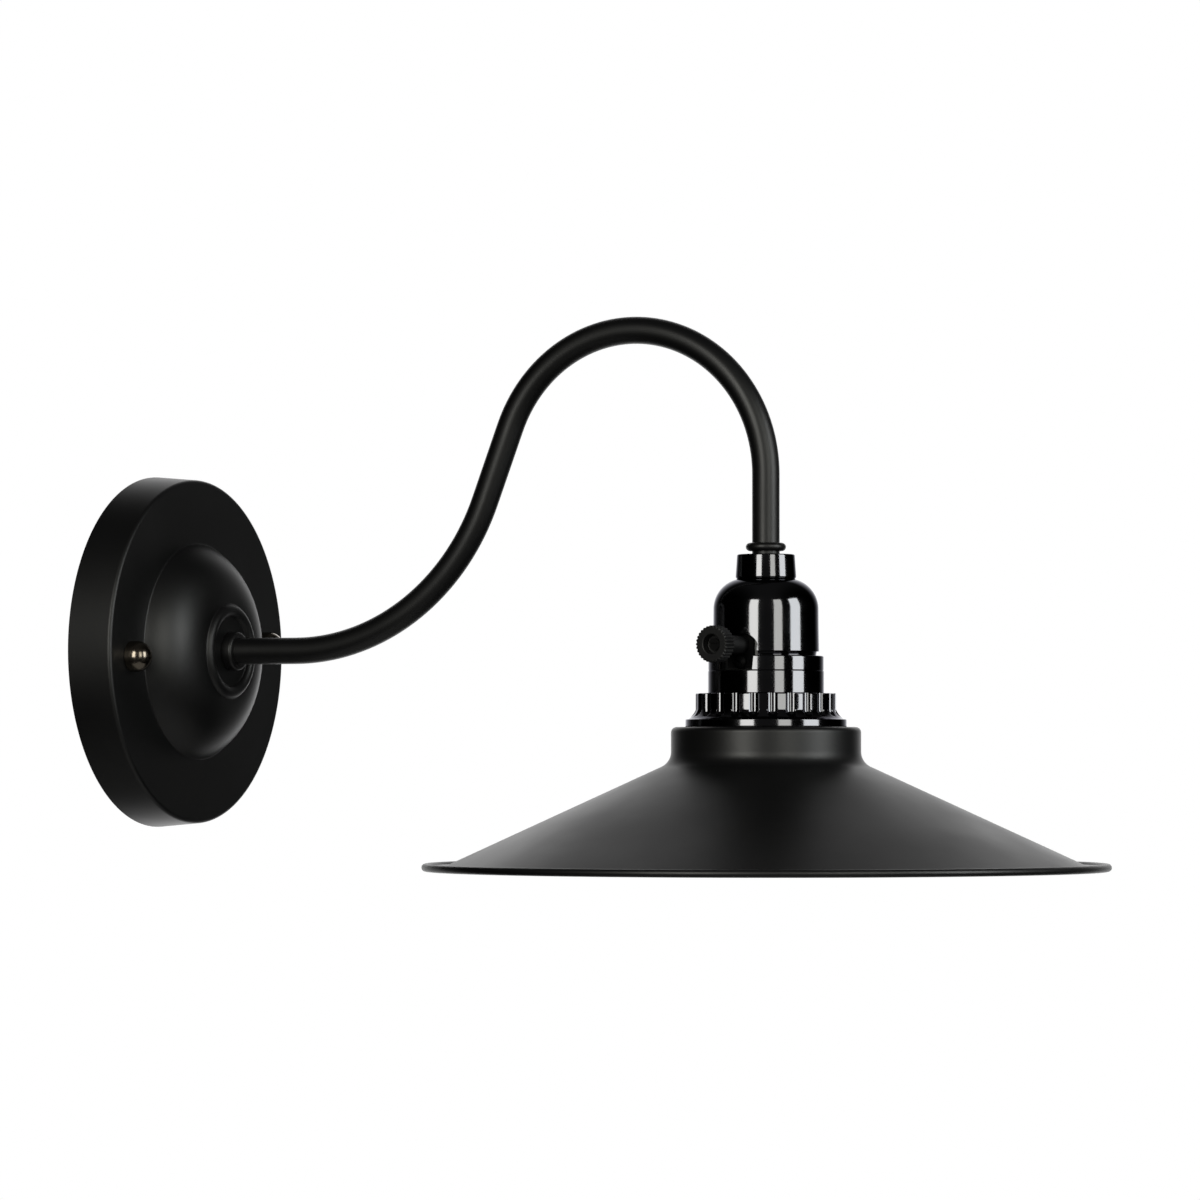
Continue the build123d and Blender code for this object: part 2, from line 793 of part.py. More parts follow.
neck_radius = band_diameter / 2 - shell_sheet - thread_gap
shell_radius = shell_diameter / 2
thread_radius = thread_diameter / 2
with BuildPart() as socket_shell:
    with BuildSketch(lamp_plane):
        with BuildLine():
            Polyline(
                (neck_radius, joint + shell_neck_height),
                (neck_radius, joint),
                (shell_radius, joint),
                (shell_radius, ring_top),
                (thread_radius, ring_top),
                (thread_radius, shell_foot),
                (thread_radius - shell_sheet - shell_lip, shell_foot),
            )
            offset(amount=shell_sheet, side=Side.RIGHT, kind=Kind.INTERSECTION)
        make_face()
    revolve(axis=lamp_axis)
    add(key_notch.part, mode=Mode.SUBTRACT)
socket_shell.part.label = "socket_shell"
export_step(socket_shell.part, "parts/socket_shell.step")

# ---------------------------------------------------------------- shade and its two rings

ring_bore = thread_radius + thread_gap
flute_foot = ring_top - ring_flute_height
flare_foot = flute_foot - ring_flare_height
ring_radius = ring_body_diameter / 2
flange_radius = ring_flange_diameter / 2
flute_centre = ring_radius + ring_flute_radius - ring_flute_depth
with BuildPart() as upper_shade_ring:
    with BuildSketch(lamp_plane):
        with BuildLine():
            FilletPolyline(
                (flange_radius, flare_foot),
                (flange_radius, ring_foot),
                (ring_bore, ring_foot),
                (ring_bore, ring_top),
                (ring_radius, ring_top),
                (ring_radius, flute_foot),
                radius=[ring_edge, 0, 0, ring_edge],
            )
            RadiusArc((ring_radius, flute_foot), (flange_radius, flare_foot), -ring_flare_height * 1.1)
        make_face()
    revolve(axis=lamp_axis)
    with BuildSketch(core_plane.offset(ring_top)):
        with PolarLocations(flute_centre, ring_flutes):
            Circle(ring_flute_radius)
    extrude(amount=-ring_flute_height, mode=Mode.SUBTRACT)
    with Locations(core_plane.offset(flute_foot)):
        with PolarLocations(flute_centre, ring_flutes):
            Sphere(ring_flute_radius, mode=Mode.SUBTRACT)
upper_shade_ring.part.label = "upper_shade_ring"
export_step(upper_shade_ring.part, "parts/upper_shade_ring.step")

shade_neck_radius = shade_neck_diameter / 2
lip_start_radius = shade_diameter / 2 - shade_lip_width
cone_top = ring_foot - shade_neck_height
lip_height = cone_top - (lip_start_radius - shade_neck_radius) * tan(radians(shade_cone_angle))
bead_centre = shade_diameter / 2 - lip_bead_diameter / 2
with BuildPart() as shade:
    with BuildSketch(lamp_plane):
        with BuildLine():
            FilletPolyline(
                (thread_radius + shade_hole_gap, ring_foot),
                (shade_neck_radius, ring_foot),
                (shade_neck_radius, cone_top),
                (lip_start_radius, lip_height),
                (bead_centre, lip_height),
                radius=[shade_neck_corner, shade_flare_radius, shade_flare_radius],
            )
            offset(amount=shade_sheet, side=Side.RIGHT, kind=Kind.INTERSECTION)
        make_face()
        with Locations((bead_centre, lip_height - shade_sheet / 2)):
            Circle(lip_bead_diameter / 2)
    revolve(axis=lamp_axis)
shade.part.label = "shade"
export_step(shade.part, "parts/shade.step")

lower_flange_foot = lower_ring_top - lower_ring_flange_height
lower_ring_foot = lower_ring_top - lower_ring_height
lower_shade_ring = turned(
    lamp_plane,
    lamp_axis,
    [
        (ring_bore, lower_ring_top),
        (lower_ring_flange_diameter / 2, lower_ring_top),
        (lower_ring_flange_diameter / 2, lower_flange_foot, ring_edge),
        (lower_ring_body_diameter / 2, lower_flange_foot, ring_edge),
        (lower_ring_body_diameter / 2, lower_ring_foot, ring_edge),
        (ring_bore, lower_ring_foot),
    ],
)
lower_shade_ring.part.label = "lower_shade_ring"
export_step(lower_shade_ring.part, "parts/lower_shade_ring.step")

# ---------------------------------------------------------------- switch housing and what it holds

housing_radius = housing_diameter / 2
stem_radius = stem_diameter / 2
spindle_radius = spindle_diameter / 2
rotor_radius = rotor_diameter / 2
leaf_face = rotor_radius + rotor_ring_sheet + touch_gap  # lamp axis to each contact leaf
cavity_side = leaf_face + contact_sheet + cavity_margin
cavity_back = cam_span[0] - cavity_margin
cavity_front = rotor_span[1] + cavity_margin
cavity_roof = key_height + rotor_radius + rotor_ring_sheet + cavity_margin
core_places = [(0, core_screw_radius), (0, -core_screw_radius)]
core_screw_top = housing_foot + core_screw_rise
terminal_places = [(-terminal_screw_offset, terminal_radius), (-terminal_screw_offset, -terminal_radius)]
strap_slot = contact_width + 2 * slip_gap
strap_middle = neutral_strap_radius - terminal_sheet / 2

with BuildPart() as switch_housing:
    with BuildSketch(core_plane.offset(housing_foot)):
        Circle(housing_radius)
        with Locations((housing_flat + housing_radius, 0)):
            Rectangle(housing_diameter, housing_diameter, mode=Mode.SUBTRACT)
        with Locations((0, -strap_middle)):
            Rectangle(strap_slot, terminal_sheet + 2 * slip_gap, mode=Mode.SUBTRACT)
        with Locations((0, leaf_face + contact_sheet / 2)):
            Rectangle(strap_slot, contact_sheet + 2 * slip_gap, mode=Mode.SUBTRACT)
    extrude(amount=housing_top - housing_foot)
    with BuildSketch(core_plane.offset(housing_foot)):
        with Locations(((cavity_back + cavity_front) / 2, 0)):
            Rectangle(cavity_front - cavity_back, 2 * cavity_side)
    extrude(amount=cavity_roof - housing_foot, mode=Mode.SUBTRACT)
    with BuildSketch(core_plane.offset(housing_foot)):
        with Locations(*core_places):
            Circle(core_screw_diameter / 2 + thread_gap)
    extrude(amount=core_screw_rise + slip_gap, mode=Mode.SUBTRACT)
    with BuildSketch(core_plane.offset(housing_top)):
        with Locations(*terminal_places):
            Circle(terminal_screw_diameter / 2 + thread_gap)
    extrude(amount=-terminal_screw_length, mode=Mode.SUBTRACT)
    with BuildSketch(key_plane.offset(spindle_back - slip_gap)):
        Circle(spindle_radius + run_gap)
    extrude(amount=housing_flat - spindle_back, mode=Mode.SUBTRACT)
    with BuildSketch(key_plane.offset(stem_start - 1)):
        Circle(stem_radius + slip_gap)
    extrude(amount=housing_flat, mode=Mode.SUBTRACT)
    with BuildSketch(key_plane.offset(housing_flat)):
        with Locations((0, -plate_screw_drop)):
            Circle(plate_screw_diameter / 2 + thread_gap)
    extrude(amount=-plate_screw_length, mode=Mode.SUBTRACT)
switch_housing.part.label = "switch_housing"
export_step(switch_housing.part, "parts/switch_housing.step")

plate_front = housing_flat + spindle_plate_sheet
with BuildPart() as spindle_plate:
    with BuildSketch(key_plane.offset(housing_flat)):
        with Locations((0, (spindle_plate_rise - spindle_plate_drop) / 2)):
            Rectangle(spindle_plate_width, spindle_plate_rise + spindle_plate_drop)
        Circle(stem_radius + slip_gap, mode=Mode.SUBTRACT)
        with Locations((0, -plate_screw_drop)):
            Circle(plate_screw_diameter / 2 + slip_gap, mode=Mode.SUBTRACT)
    extrude(amount=spindle_plate_sheet)
spindle_plate.part.label = "spindle_plate"
export_step(spindle_plate.part, "parts/spindle_plate.step")

plate_screw = pins(
    key_plane,
    [(0, -plate_screw_drop)],
    [
        (plate_screw_diameter, plate_front - plate_screw_length, plate_front),
        (plate_screw_head_diameter, plate_front, plate_front + plate_screw_head_height),
    ],
    (plate_screw_head_diameter, plate_front + plate_screw_head_height, slot_depth),
)
plate_screw.part.label = "plate_screw"
export_step(plate_screw.part, "parts/plate_screw.step")

cup_floor = knob_end - knob_cup_depth
with BuildPart() as switch_knob:
    with BuildSketch(key_plane.offset(stem_start)):
        Circle(stem_radius)
    extrude(amount=knob_start - stem_start)
    with BuildSketch(key_plane.offset(knob_start)):
        Circle(knob_diameter / 2)
        with PolarLocations(knob_diameter / 2, knob_flutes):
            Circle(knob_flute_depth, mode=Mode.SUBTRACT)
    extrude(amount=knob_end - knob_start)
    with BuildSketch(Plane(origin=key_origin, x_dir=key_across, z_dir=(0, 0, 1))):
        with BuildLine():
            FilletPolyline(
                (0, -stem_start),
                (stem_radius, -stem_start),
                (stem_radius, -knob_start),
                (knob_diameter / 2, -knob_start),
                (knob_diameter / 2, -knob_end),
                (0, -knob_end),
                radius=[0, 0, 0, knob_edge, knob_edge, 0],
                close=True,
            )
        make_face()
    revolve(axis=key_axis, mode=Mode.INTERSECT)
    with BuildSketch(key_plane.offset(cup_floor)):
        Circle(knob_cup_diameter / 2)
    extrude(amount=knob_cup_depth, mode=Mode.SUBTRACT)
    with BuildSketch(key_plane.offset(stem_start)):
        Circle(spindle_radius + thread_gap)
    extrude(amount=spindle_end - stem_start + slip_gap, mode=Mode.SUBTRACT)
    with BuildSketch(key_plane.offset(stem_start)):
        Circle(knob_screw_diameter / 2 + slip_gap)
    extrude(amount=cup_floor - stem_start, mode=Mode.SUBTRACT)
switch_knob.part.label = "switch_knob"
export_step(switch_knob.part, "parts/switch_knob.step")

knob_screw = pins(
    key_plane,
    [(0, 0)],
    [
        (knob_screw_diameter, cup_floor - knob_screw_length, cup_floor),
        (knob_screw_head_diameter, cup_floor, cup_floor + knob_screw_head_height),
    ],
    (knob_screw_head_diameter, cup_floor + knob_screw_head_height, slot_depth),
)
knob_screw.part.label = "knob_screw"
export_step(knob_screw.part, "parts/knob_screw.step")

with BuildPart() as switch_spindle:
    with BuildSketch(key_plane.offset(spindle_back)):
        Circle(spindle_radius)
    extrude(amount=spindle_end - spindle_back)
    with BuildSketch(key_plane.offset(spindle_end)):
        Circle(knob_screw_diameter / 2 + thread_gap)
    extrude(amount=-spindle_tap_depth, mode=Mode.SUBTRACT)
switch_spindle.part.label = "switch_spindle"
export_step(switch_spindle.part, "parts/switch_spindle.step")

with BuildPart() as switch_rotor:
    with BuildSketch(key_plane.offset(rotor_span[0])):
        Circle(rotor_radius)
    extrude(amount=rotor_span[1] - rotor_span[0])
    with BuildSketch(key_plane.offset(cam_span[0])):
        Rectangle(cam_flats, cam_flats)
    extrude(amount=cam_span[1] - cam_span[0])
    with BuildSketch(key_plane.offset(cam_span[0])):
        Circle(spindle_radius)
    extrude(amount=rotor_span[1] - cam_span[0], mode=Mode.SUBTRACT)
switch_rotor.part.label = "switch_rotor"
export_step(switch_rotor.part, "parts/switch_rotor.step")

gap_angle = 180 - rotor_ring_angle / 2
gap_x = rotor_diameter * sin(radians(gap_angle))
gap_y = -rotor_diameter * cos(radians(gap_angle))
with BuildPart() as rotor_contact:
    with BuildSketch(key_plane):
        Circle(rotor_radius + rotor_ring_sheet)
        Circle(rotor_radius, mode=Mode.SUBTRACT)
        with BuildLine():
            Polyline((0, 0), (-gap_x, gap_y), (0, -2 * rotor_diameter), (gap_x, gap_y), close=True)
        make_face(mode=Mode.SUBTRACT)
    extrude(amount=rotor_ring_width / 2, both=True)
rotor_contact.part.label = "rotor_contact"
export_step(rotor_contact.part, "parts/rotor_contact.step")

detent_height = key_height - cam_flats / 2
detent_foot = housing_foot + detent_sheet / 2
with BuildPart() as detent_spring:
    with BuildSketch(cross_plane.offset((cam_span[0] + cam_span[1]) / 2)):
        with BuildLine():
            FilletPolyline(
                (-detent_spread, detent_foot),
                (-cam_flats / 2 - detent_bend_radius, detent_height),
                (cam_flats / 2 + detent_bend_radius, detent_height),
                (detent_spread, detent_foot),
                radius=detent_bend_radius,
            )
            offset(amount=detent_sheet, side=Side.RIGHT, kind=Kind.INTERSECTION)
        make_face()
    extrude(amount=detent_width / 2, both=True)
detent_spring.part.label = "detent_spring"
export_step(detent_spring.part, "parts/detent_spring.step")

# ---------------------------------------------------------------- contacts and lampholder terminals

line_seat = housing_top + contact_sheet
plate_middle = (3 - terminal_plate_length / 2, terminal_radius)
with BuildPart() as line_contact:
    with BuildSketch(cross_plane):
        with BuildLine():
            Polyline(
                (leaf_face, key_height - contact_reach),
                (leaf_face, line_seat),
                (terminal_radius, line_seat),
            )
            offset(amount=contact_sheet, side=Side.RIGHT, kind=Kind.INTERSECTION)
        make_face()
    extrude(amount=contact_width / 2, both=True)
    with BuildSketch(core_plane.offset(housing_top)):
        with Locations(plate_middle):
            Rectangle(terminal_plate_length, terminal_plate_depth)
    extrude(amount=contact_sheet)
    with BuildSketch(core_plane.offset(housing_top)):
        with Locations(terminal_places[0]):
            Circle(terminal_screw_diameter / 2 + slip_gap)
    extrude(amount=contact_sheet, mode=Mode.SUBTRACT)
line_contact.part.label = "line_contact"
export_step(line_contact.part, "parts/line_contact.step")

with BuildPart() as line_terminal:
    with BuildSketch(core_plane.offset(line_seat)):
        with Locations(plate_middle):
            Rectangle(terminal_plate_length, terminal_plate_depth)
        with Locations(terminal_places[0]):
            Circle(terminal_screw_diameter / 2 + slip_gap, mode=Mode.SUBTRACT)
        with Locations((0, terminal_radius)):
            Circle(lead_radius + thread_gap, mode=Mode.SUBTRACT)
    extrude(amount=terminal_sheet)
line_terminal.part.label = "line_terminal"
export_step(line_terminal.part, "parts/line_terminal.step")

strap_foot = housing_foot - terminal_sheet
with BuildPart() as neutral_terminal:
    with BuildSketch(cross_plane):
        with BuildLine():
            Polyline(
                (-terminal_radius, housing_top + terminal_sheet),
                (-neutral_strap_radius, housing_top + terminal_sheet),
                (-neutral_strap_radius, strap_foot),
                (-neutral_strap_foot, strap_foot),
            )
            offset(amount=terminal_sheet, side=Side.LEFT, kind=Kind.INTERSECTION)
        make_face()
    extrude(amount=contact_width / 2, both=True)
    with BuildSketch(core_plane.offset(housing_top)):
        with Locations((plate_middle[0], -terminal_radius)):
            Rectangle(terminal_plate_length, terminal_plate_depth)
    extrude(amount=terminal_sheet)
    with BuildSketch(core_plane.offset(housing_top)):
        with Locations(terminal_places[1]):
            Circle(terminal_screw_diameter / 2 + slip_gap)
        with Locations((0, -terminal_radius)):
            Circle(lead_radius + thread_gap)
    extrude(amount=terminal_sheet, mode=Mode.SUBTRACT)
    with BuildSketch(core_plane.offset(strap_foot)):
        with Locations(core_places[1]):
            Circle(core_screw_diameter / 2 + thread_gap)
    extrude(amount=terminal_sheet, mode=Mode.SUBTRACT)
neutral_terminal.part.label = "neutral_terminal"
export_step(neutral_terminal.part, "parts/neutral_terminal.step")

with BuildPart() as terminal_screws:
    for place, seat in zip(terminal_places, (line_seat, housing_top)):
        with BuildSketch(core_plane.offset(seat + terminal_sheet)):
            with Locations(place):
                Circle(terminal_screw_diameter / 2)
        extrude(amount=-terminal_screw_length)
        with BuildSketch(core_plane.offset(seat + terminal_sheet)):
            with Locations(place):
                Circle(terminal_screw_head_diameter / 2)
        extrude(amount=terminal_screw_head_height)
        with BuildSketch(core_plane.offset(seat + terminal_sheet + terminal_screw_head_height)):
            with Locations(place):
                Rectangle(2 * terminal_screw_head_diameter, slot_share * terminal_screw_head_diameter)
        extrude(amount=-slot_depth, mode=Mode.SUBTRACT)
terminal_screws.part.label = "terminal_screws"
export_step(terminal_screws.part, "parts/terminal_screws.step")

feed_middle = -leaf_face - contact_sheet / 2
with BuildPart() as feed_strap:
    with BuildSketch(core_plane.offset(key_height + contact_reach)):
        with Locations((0, feed_middle)):
            Rectangle(contact_width, contact_sheet)
    extrude(amount=carrier_foot - foot_thickness - foot_rivet - key_height - contact_reach)
feed_strap.part.label = "feed_strap"
export_step(feed_strap.part, "parts/feed_strap.step")

with BuildPart() as contact_foot:
    with BuildSketch(core_plane.offset(carrier_foot)):
        with Locations((0, (foot_span[0] + foot_span[1]) / 2)):
            Rectangle(foot_width, foot_span[1] - foot_span[0])
        with Locations((0, feed_middle)):
            Rectangle(
                contact_width + 2 * thread_gap,
                contact_sheet + 2 * thread_gap,
                mode=Mode.SUBTRACT,
            )
    extrude(amount=-foot_thickness)
contact_foot.part.label = "contact_foot"
export_step(contact_foot.part, "parts/contact_foot.step")

tongue_root = foot_span[1] + tongue_gap + tongue_sheet / 2
tongue_height = carrier_foot - foot_thickness / 2
tongue_middle = (
    tongue_root + tongue_length / 2 * cos(radians(tongue_drop_angle)),
    tongue_height - tongue_length / 2 * sin(radians(tongue_drop_angle)),
)
with BuildPart() as centre_contact:
    with BuildSketch(cross_plane):
        with Locations(tongue_middle):
            SlotCenterToCenter(tongue_length, tongue_sheet, rotation=-tongue_drop_angle)
    extrude(amount=tongue_width / 2, both=True)
centre_contact.part.label = "centre_contact"
export_step(centre_contact.part, "parts/centre_contact.step")

# ---------------------------------------------------------------- contact carrier and screw shell

carrier_radius = carrier_diameter / 2
rim_top = band_top - shell_sheet - touch_gap
key_gap_foot = key_height - plate_screw_drop - plate_screw_head_diameter / 2 - slip_gap
with BuildPart() as contact_carrier:
    with BuildSketch(core_plane.offset(carrier_foot)):
        Circle(carrier_radius)
        with Locations((0, feed_middle)):
            Rectangle(
                contact_width + 2 * slip_gap,
                contact_sheet + 2 * slip_gap,
                mode=Mode.SUBTRACT,
            )
        with Locations(*core_places):
            Circle(core_screw_diameter / 2 + slip_gap, mode=Mode.SUBTRACT)
    extrude(amount=housing_foot - carrier_foot)
    with BuildSketch(core_plane.offset(housing_foot)):
        Circle(carrier_radius)
        Circle(housing_radius + slip_gap, mode=Mode.SUBTRACT)
    extrude(amount=rim_top - housing_foot)
    with BuildSketch(core_plane.offset(housing_foot)):
        with Locations((0, -(neutral_strap_radius + neutral_strap_foot) / 2)):
            Rectangle(strap_slot, neutral_strap_radius - neutral_strap_foot + 2 * slip_gap)
    extrude(amount=-terminal_sheet, mode=Mode.SUBTRACT)
    with BuildSketch(core_plane.offset(key_gap_foot)):
        with Locations((housing_flat + carrier_radius / 2, 0)):
            Rectangle(carrier_radius, notch_width)
    extrude(amount=rim_top - key_gap_foot, mode=Mode.SUBTRACT)
contact_carrier.part.label = "contact_carrier"
export_step(contact_carrier.part, "parts/contact_carrier.step")

screw_shell_radius = screw_shell_bore / 2 + screw_shell_sheet
screw_shell_foot = carrier_foot - screw_shell_height
screw_thread_top = screw_shell_foot + screw_shell_thread
with BuildPart() as screw_shell:
    with BuildSketch(lamp_plane):
        with BuildLine():
            Polyline(
                (screw_shell_window / 2, carrier_foot),
                (screw_shell_radius + screw_shell_step, carrier_foot),
                (screw_shell_radius + screw_shell_step, screw_thread_top),
                (screw_shell_radius, screw_thread_top),
                (screw_shell_radius, screw_shell_foot),
            )
            offset(amount=screw_shell_sheet, side=Side.RIGHT, kind=Kind.INTERSECTION)
        make_face()
    revolve(axis=lamp_axis)
    with BuildSketch(core_plane.offset(carrier_foot)):
        with Locations(*core_places):
            Circle(core_screw_diameter / 2 + slip_gap)
    extrude(amount=-screw_shell_sheet, mode=Mode.SUBTRACT)
screw_shell.part.label = "screw_shell"
export_step(screw_shell.part, "parts/screw_shell.step")

core_head_top = carrier_foot - screw_shell_sheet
core_screws = pins(
    core_plane,
    core_places,
    [
        (core_screw_head_diameter, core_head_top - core_screw_head_height, core_head_top),
        (core_screw_diameter, core_head_top, core_screw_top),
    ],
)
core_screws.part.label = "core_screws"
export_step(core_screws.part, "parts/core_screws.step")

liner_radius = thread_radius - shell_sheet - slip_gap
insulating_liner = turned(
    lamp_plane,
    lamp_axis,
    band(liner_radius - liner_sheet, liner_radius, shell_foot + shell_sheet, carrier_foot),
)
insulating_liner.part.label = "insulating_liner"
export_step(insulating_liner.part, "parts/insulating_liner.step")

# ---------------------------------------------------------------- leads through the arm


def lead_through_arm(side, pole, end_height):
    """One lead from its pole of the terminal block to its plate in the lampholder."""
    across = side * lead_spread
    end = Vector(0, -reach, 0) - key_across * side * terminal_radius
    with BuildLine() as route:
        FilletPolyline(
            (pole, -lead_seat, block_lift + lead_tail),
            (pole, -lead_seat, lead_turn_height),
            (across, -lead_turn_depth, 0),
            (across, -tube_back, 0),
            radius=lead_bend_radius,
        )
        add(arm_route(across).line)
        FilletPolyline(
            (across, -reach, tube_foot),
            (across, -reach, lead_level),
            (end.X, end.Y, lead_level),
            (end.X, end.Y, end_height),
            radius=lead_end_bend,
        )
    with BuildPart() as lead:
        with BuildSketch(Plane(origin=route.line @ 0, z_dir=route.line % 0)):
            Circle(lead_radius)
        sweep(path=route.line)
    return lead


line_lead = lead_through_arm(-1, -block_pitch, line_seat)
line_lead.part.label = "line_lead"
export_step(line_lead.part, "parts/line_lead.step")

neutral_lead = lead_through_arm(1, 0, housing_top)
neutral_lead.part.label = "neutral_lead"
export_step(neutral_lead.part, "parts/neutral_lead.step")
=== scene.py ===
from math import acos, asin, cos, degrees, pi, radians, sin, tan

import bmesh
import bpy
import numpy as np
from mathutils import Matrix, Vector


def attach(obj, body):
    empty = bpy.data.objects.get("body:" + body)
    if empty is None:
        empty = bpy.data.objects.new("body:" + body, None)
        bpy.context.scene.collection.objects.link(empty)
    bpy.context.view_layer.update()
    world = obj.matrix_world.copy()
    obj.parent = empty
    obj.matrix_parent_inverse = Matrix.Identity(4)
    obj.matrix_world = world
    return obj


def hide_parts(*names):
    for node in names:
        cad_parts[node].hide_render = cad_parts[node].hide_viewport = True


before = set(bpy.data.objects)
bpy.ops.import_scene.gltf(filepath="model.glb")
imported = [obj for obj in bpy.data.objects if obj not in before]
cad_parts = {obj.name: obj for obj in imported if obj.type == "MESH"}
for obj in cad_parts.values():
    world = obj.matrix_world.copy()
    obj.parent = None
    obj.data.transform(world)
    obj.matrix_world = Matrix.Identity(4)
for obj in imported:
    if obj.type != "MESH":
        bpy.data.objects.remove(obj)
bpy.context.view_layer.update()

# ---------------------------------------------------------------- camera
# The wall is the plane Y = 0, the lamp reaches out along -Y and +Z is up. The photograph was
# taken from the room's side and left of the lamp, a little below the arm, and looks 1.5
# degrees up. Its frame is 1200 by 1200.

view_turn = radians(63.694)
view_pitch = radians(1.49)

camera_data = bpy.data.cameras.new("camera")
camera_data.sensor_width = 36
camera_data.lens = 181.8
camera_data.clip_end = 60
camera = bpy.data.objects.new("camera", camera_data)
camera.location = (-1.999, -1.176, -0.0403)
camera.rotation_euler = (pi / 2 + view_pitch, 0, -view_turn)
bpy.context.scene.collection.objects.link(camera)
bpy.context.scene.camera = camera

# ---------------------------------------------------------------- canopy
# The canopy is a plate of 1 mm steel, pressed with a tapered rim, a flat face, a dome and a
# rolled bead round the arm's seat, then powder coated. It lies against the wall and carries
# everything else.

mm = 0.001  # pieces are worked out in millimetres


def rounded(corners, steps=6):
    """An outline through corners (x, y, radius). Each corner is an arc tangent to its two sides,
    with one close point on each side of it, which keeps the flat sides flat when shaded."""
    places = np.array([corner[:2] for corner in corners], float)
    outline = [places[:1]]
    for before, place, after, (_, _, radius) in zip(places, places[1:], places[2:], corners[1:]):
        if not radius:
            outline.append(place[None])
            continue
        back = (before - place) / np.linalg.norm(before - place)
        on = (after - place) / np.linalg.norm(after - place)
        half = np.arccos(np.clip(back @ on, -1, 1)) / 2
        centre = place + (back + on) / np.linalg.norm(back + on) * radius / np.sin(half)
        start = place + back * radius / np.tan(half) - centre
        end = place + on * radius / np.tan(half) - centre
        sweep = pi - 2 * half
        share = np.linspace(0, 1, steps + 1)[:, None]
        curve = np.sin((1 - share) * sweep) * start + np.sin(share * sweep) * end
        curve = centre + curve / np.sin(sweep)
        close = 0.08 * radius
        outline += [curve[:1] + back * close, curve, curve[-1:] + on * close]
    return np.vstack(outline + [places[-1:]])


def arc(centre, radius, start, end, count):
    """Points round a circle from one angle to another, in degrees."""
    angle = np.radians(np.linspace(start, end, count))
    return np.stack([centre[0] + radius * np.cos(angle), centre[1] + radius * np.sin(angle)], 1)


def sharp(points):
    """The same points as corners without a radius, for use inside a list for rounded()."""
    return [(x, y, 0) for x, y in points]


def moved(outline, distance):
    """The outline moved to its right, along the mean normal at each of its points."""
    along = np.gradient(outline, axis=0)
    normal = np.stack([along[:, 1], -along[:, 0]], 1)
    return outline + distance * normal / np.linalg.norm(normal, axis=1)[:, None]


def about(origin, axis, start, radius, level, angle):
    """Points about an axis: each at its radius from the axis, its level along it and its angle
    from the direction start. The three are grids, or one row or column of a grid."""
    axis, start = np.array(axis, float), np.array(start, float)
    ring = np.cos(angle)[..., None] * start + np.sin(angle)[..., None] * np.cross(axis, start)
    return np.array(origin) + level[..., None] * axis + radius[..., None] * ring


def turned(outline, origin, axis, start, segments):
    """The grid of an outline (radius, level) turned about an axis: each of its points becomes a
    ring, whose first point lies towards start."""
    angle = np.linspace(0, 2 * pi, segments, endpoint=False)[None]
    return about(origin, axis, start, outline[:, :1], outline[:, 1:], angle)


def grid_faces(rows, columns, closed):
    """The faces between a grid's points, as their four numbers. Each row joins up with itself,
    and the last row joins the first if the grid is closed."""
    index = np.arange(rows * columns).reshape(rows, columns)
    if closed:
        index = np.vstack([index, index[:1]])
    index = np.hstack([index, index[:, :1]])
    corners = [index[:-1, :-1], index[:-1, 1:], index[1:, 1:], index[1:, :-1]]
    return np.stack(corners, -1).reshape(-1, 4)


def add_piece(name, points, faces, body, replaced, finish):
    """Adds a piece made of points in millimetres and faces of four. Points in one place are
    merged, faces left without area are removed, and the normals are turned outwards."""
    mesh = bpy.data.meshes.new(name)
    mesh.from_pydata((points * mm).tolist(), [], faces.tolist())
    work = bmesh.new()
    work.from_mesh(mesh)
    bmesh.ops.remove_doubles(work, verts=work.verts, dist=0.0002 * mm)
    bmesh.ops.dissolve_degenerate(work, edges=work.edges, dist=0.0001 * mm)
    bmesh.ops.recalc_face_normals(work, faces=work.faces)
    work.to_mesh(mesh)
    work.free()
    mesh.polygons.foreach_set("use_smooth", np.ones(len(mesh.polygons), bool))
    mesh.set_sharp_from_angle(angle=radians(38))
    mesh.materials.append(finish)
    piece = bpy.data.objects.new(name, mesh)
    bpy.context.scene.collection.objects.link(piece)
    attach(piece, body)
    if replaced:
        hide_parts(*replaced)


def surface(name, grid, body, replaced, finish, closed=True):
    """Adds a piece whose surface runs through a grid of points, rows by columns."""
    faces = grid_faces(*grid.shape[:2], closed)
    add_piece(name, grid.reshape(-1, 3), faces, body, replaced, finish)


def linear(colour):
    """An sRGB hex colour as Blender's linear red, green, blue and alpha."""
    part = np.array([int(colour[i : i + 2], 16) / 255 for i in (1, 3, 5)])
    part = np.where(part <= 0.04045, part / 12.92, ((part + 0.055) / 1.055) ** 2.4)
    return (*part.tolist(), 1)


def add_node(tree, kind, values=(), links=(), **settings):
    """Adds a node with its settings, its sockets' values and the sources linked to them."""
    new = tree.nodes.new(kind)
    for name, value in settings.items():
        setattr(new, name, value)
    for name, value in dict(values).items():
        new.inputs[name].default_value = value
    for name, source in dict(links).items():
        tree.links.new(source, new.inputs[name])
    return new


def new_finish(name):
    """A new material, its emptied node tree, and the object's own coordinates in it."""
    finish = bpy.data.materials.new(name)
    finish.use_nodes = True
    tree = finish.node_tree
    tree.nodes.clear()
    return finish, tree, add_node(tree, "ShaderNodeTexCoord").outputs["Object"]


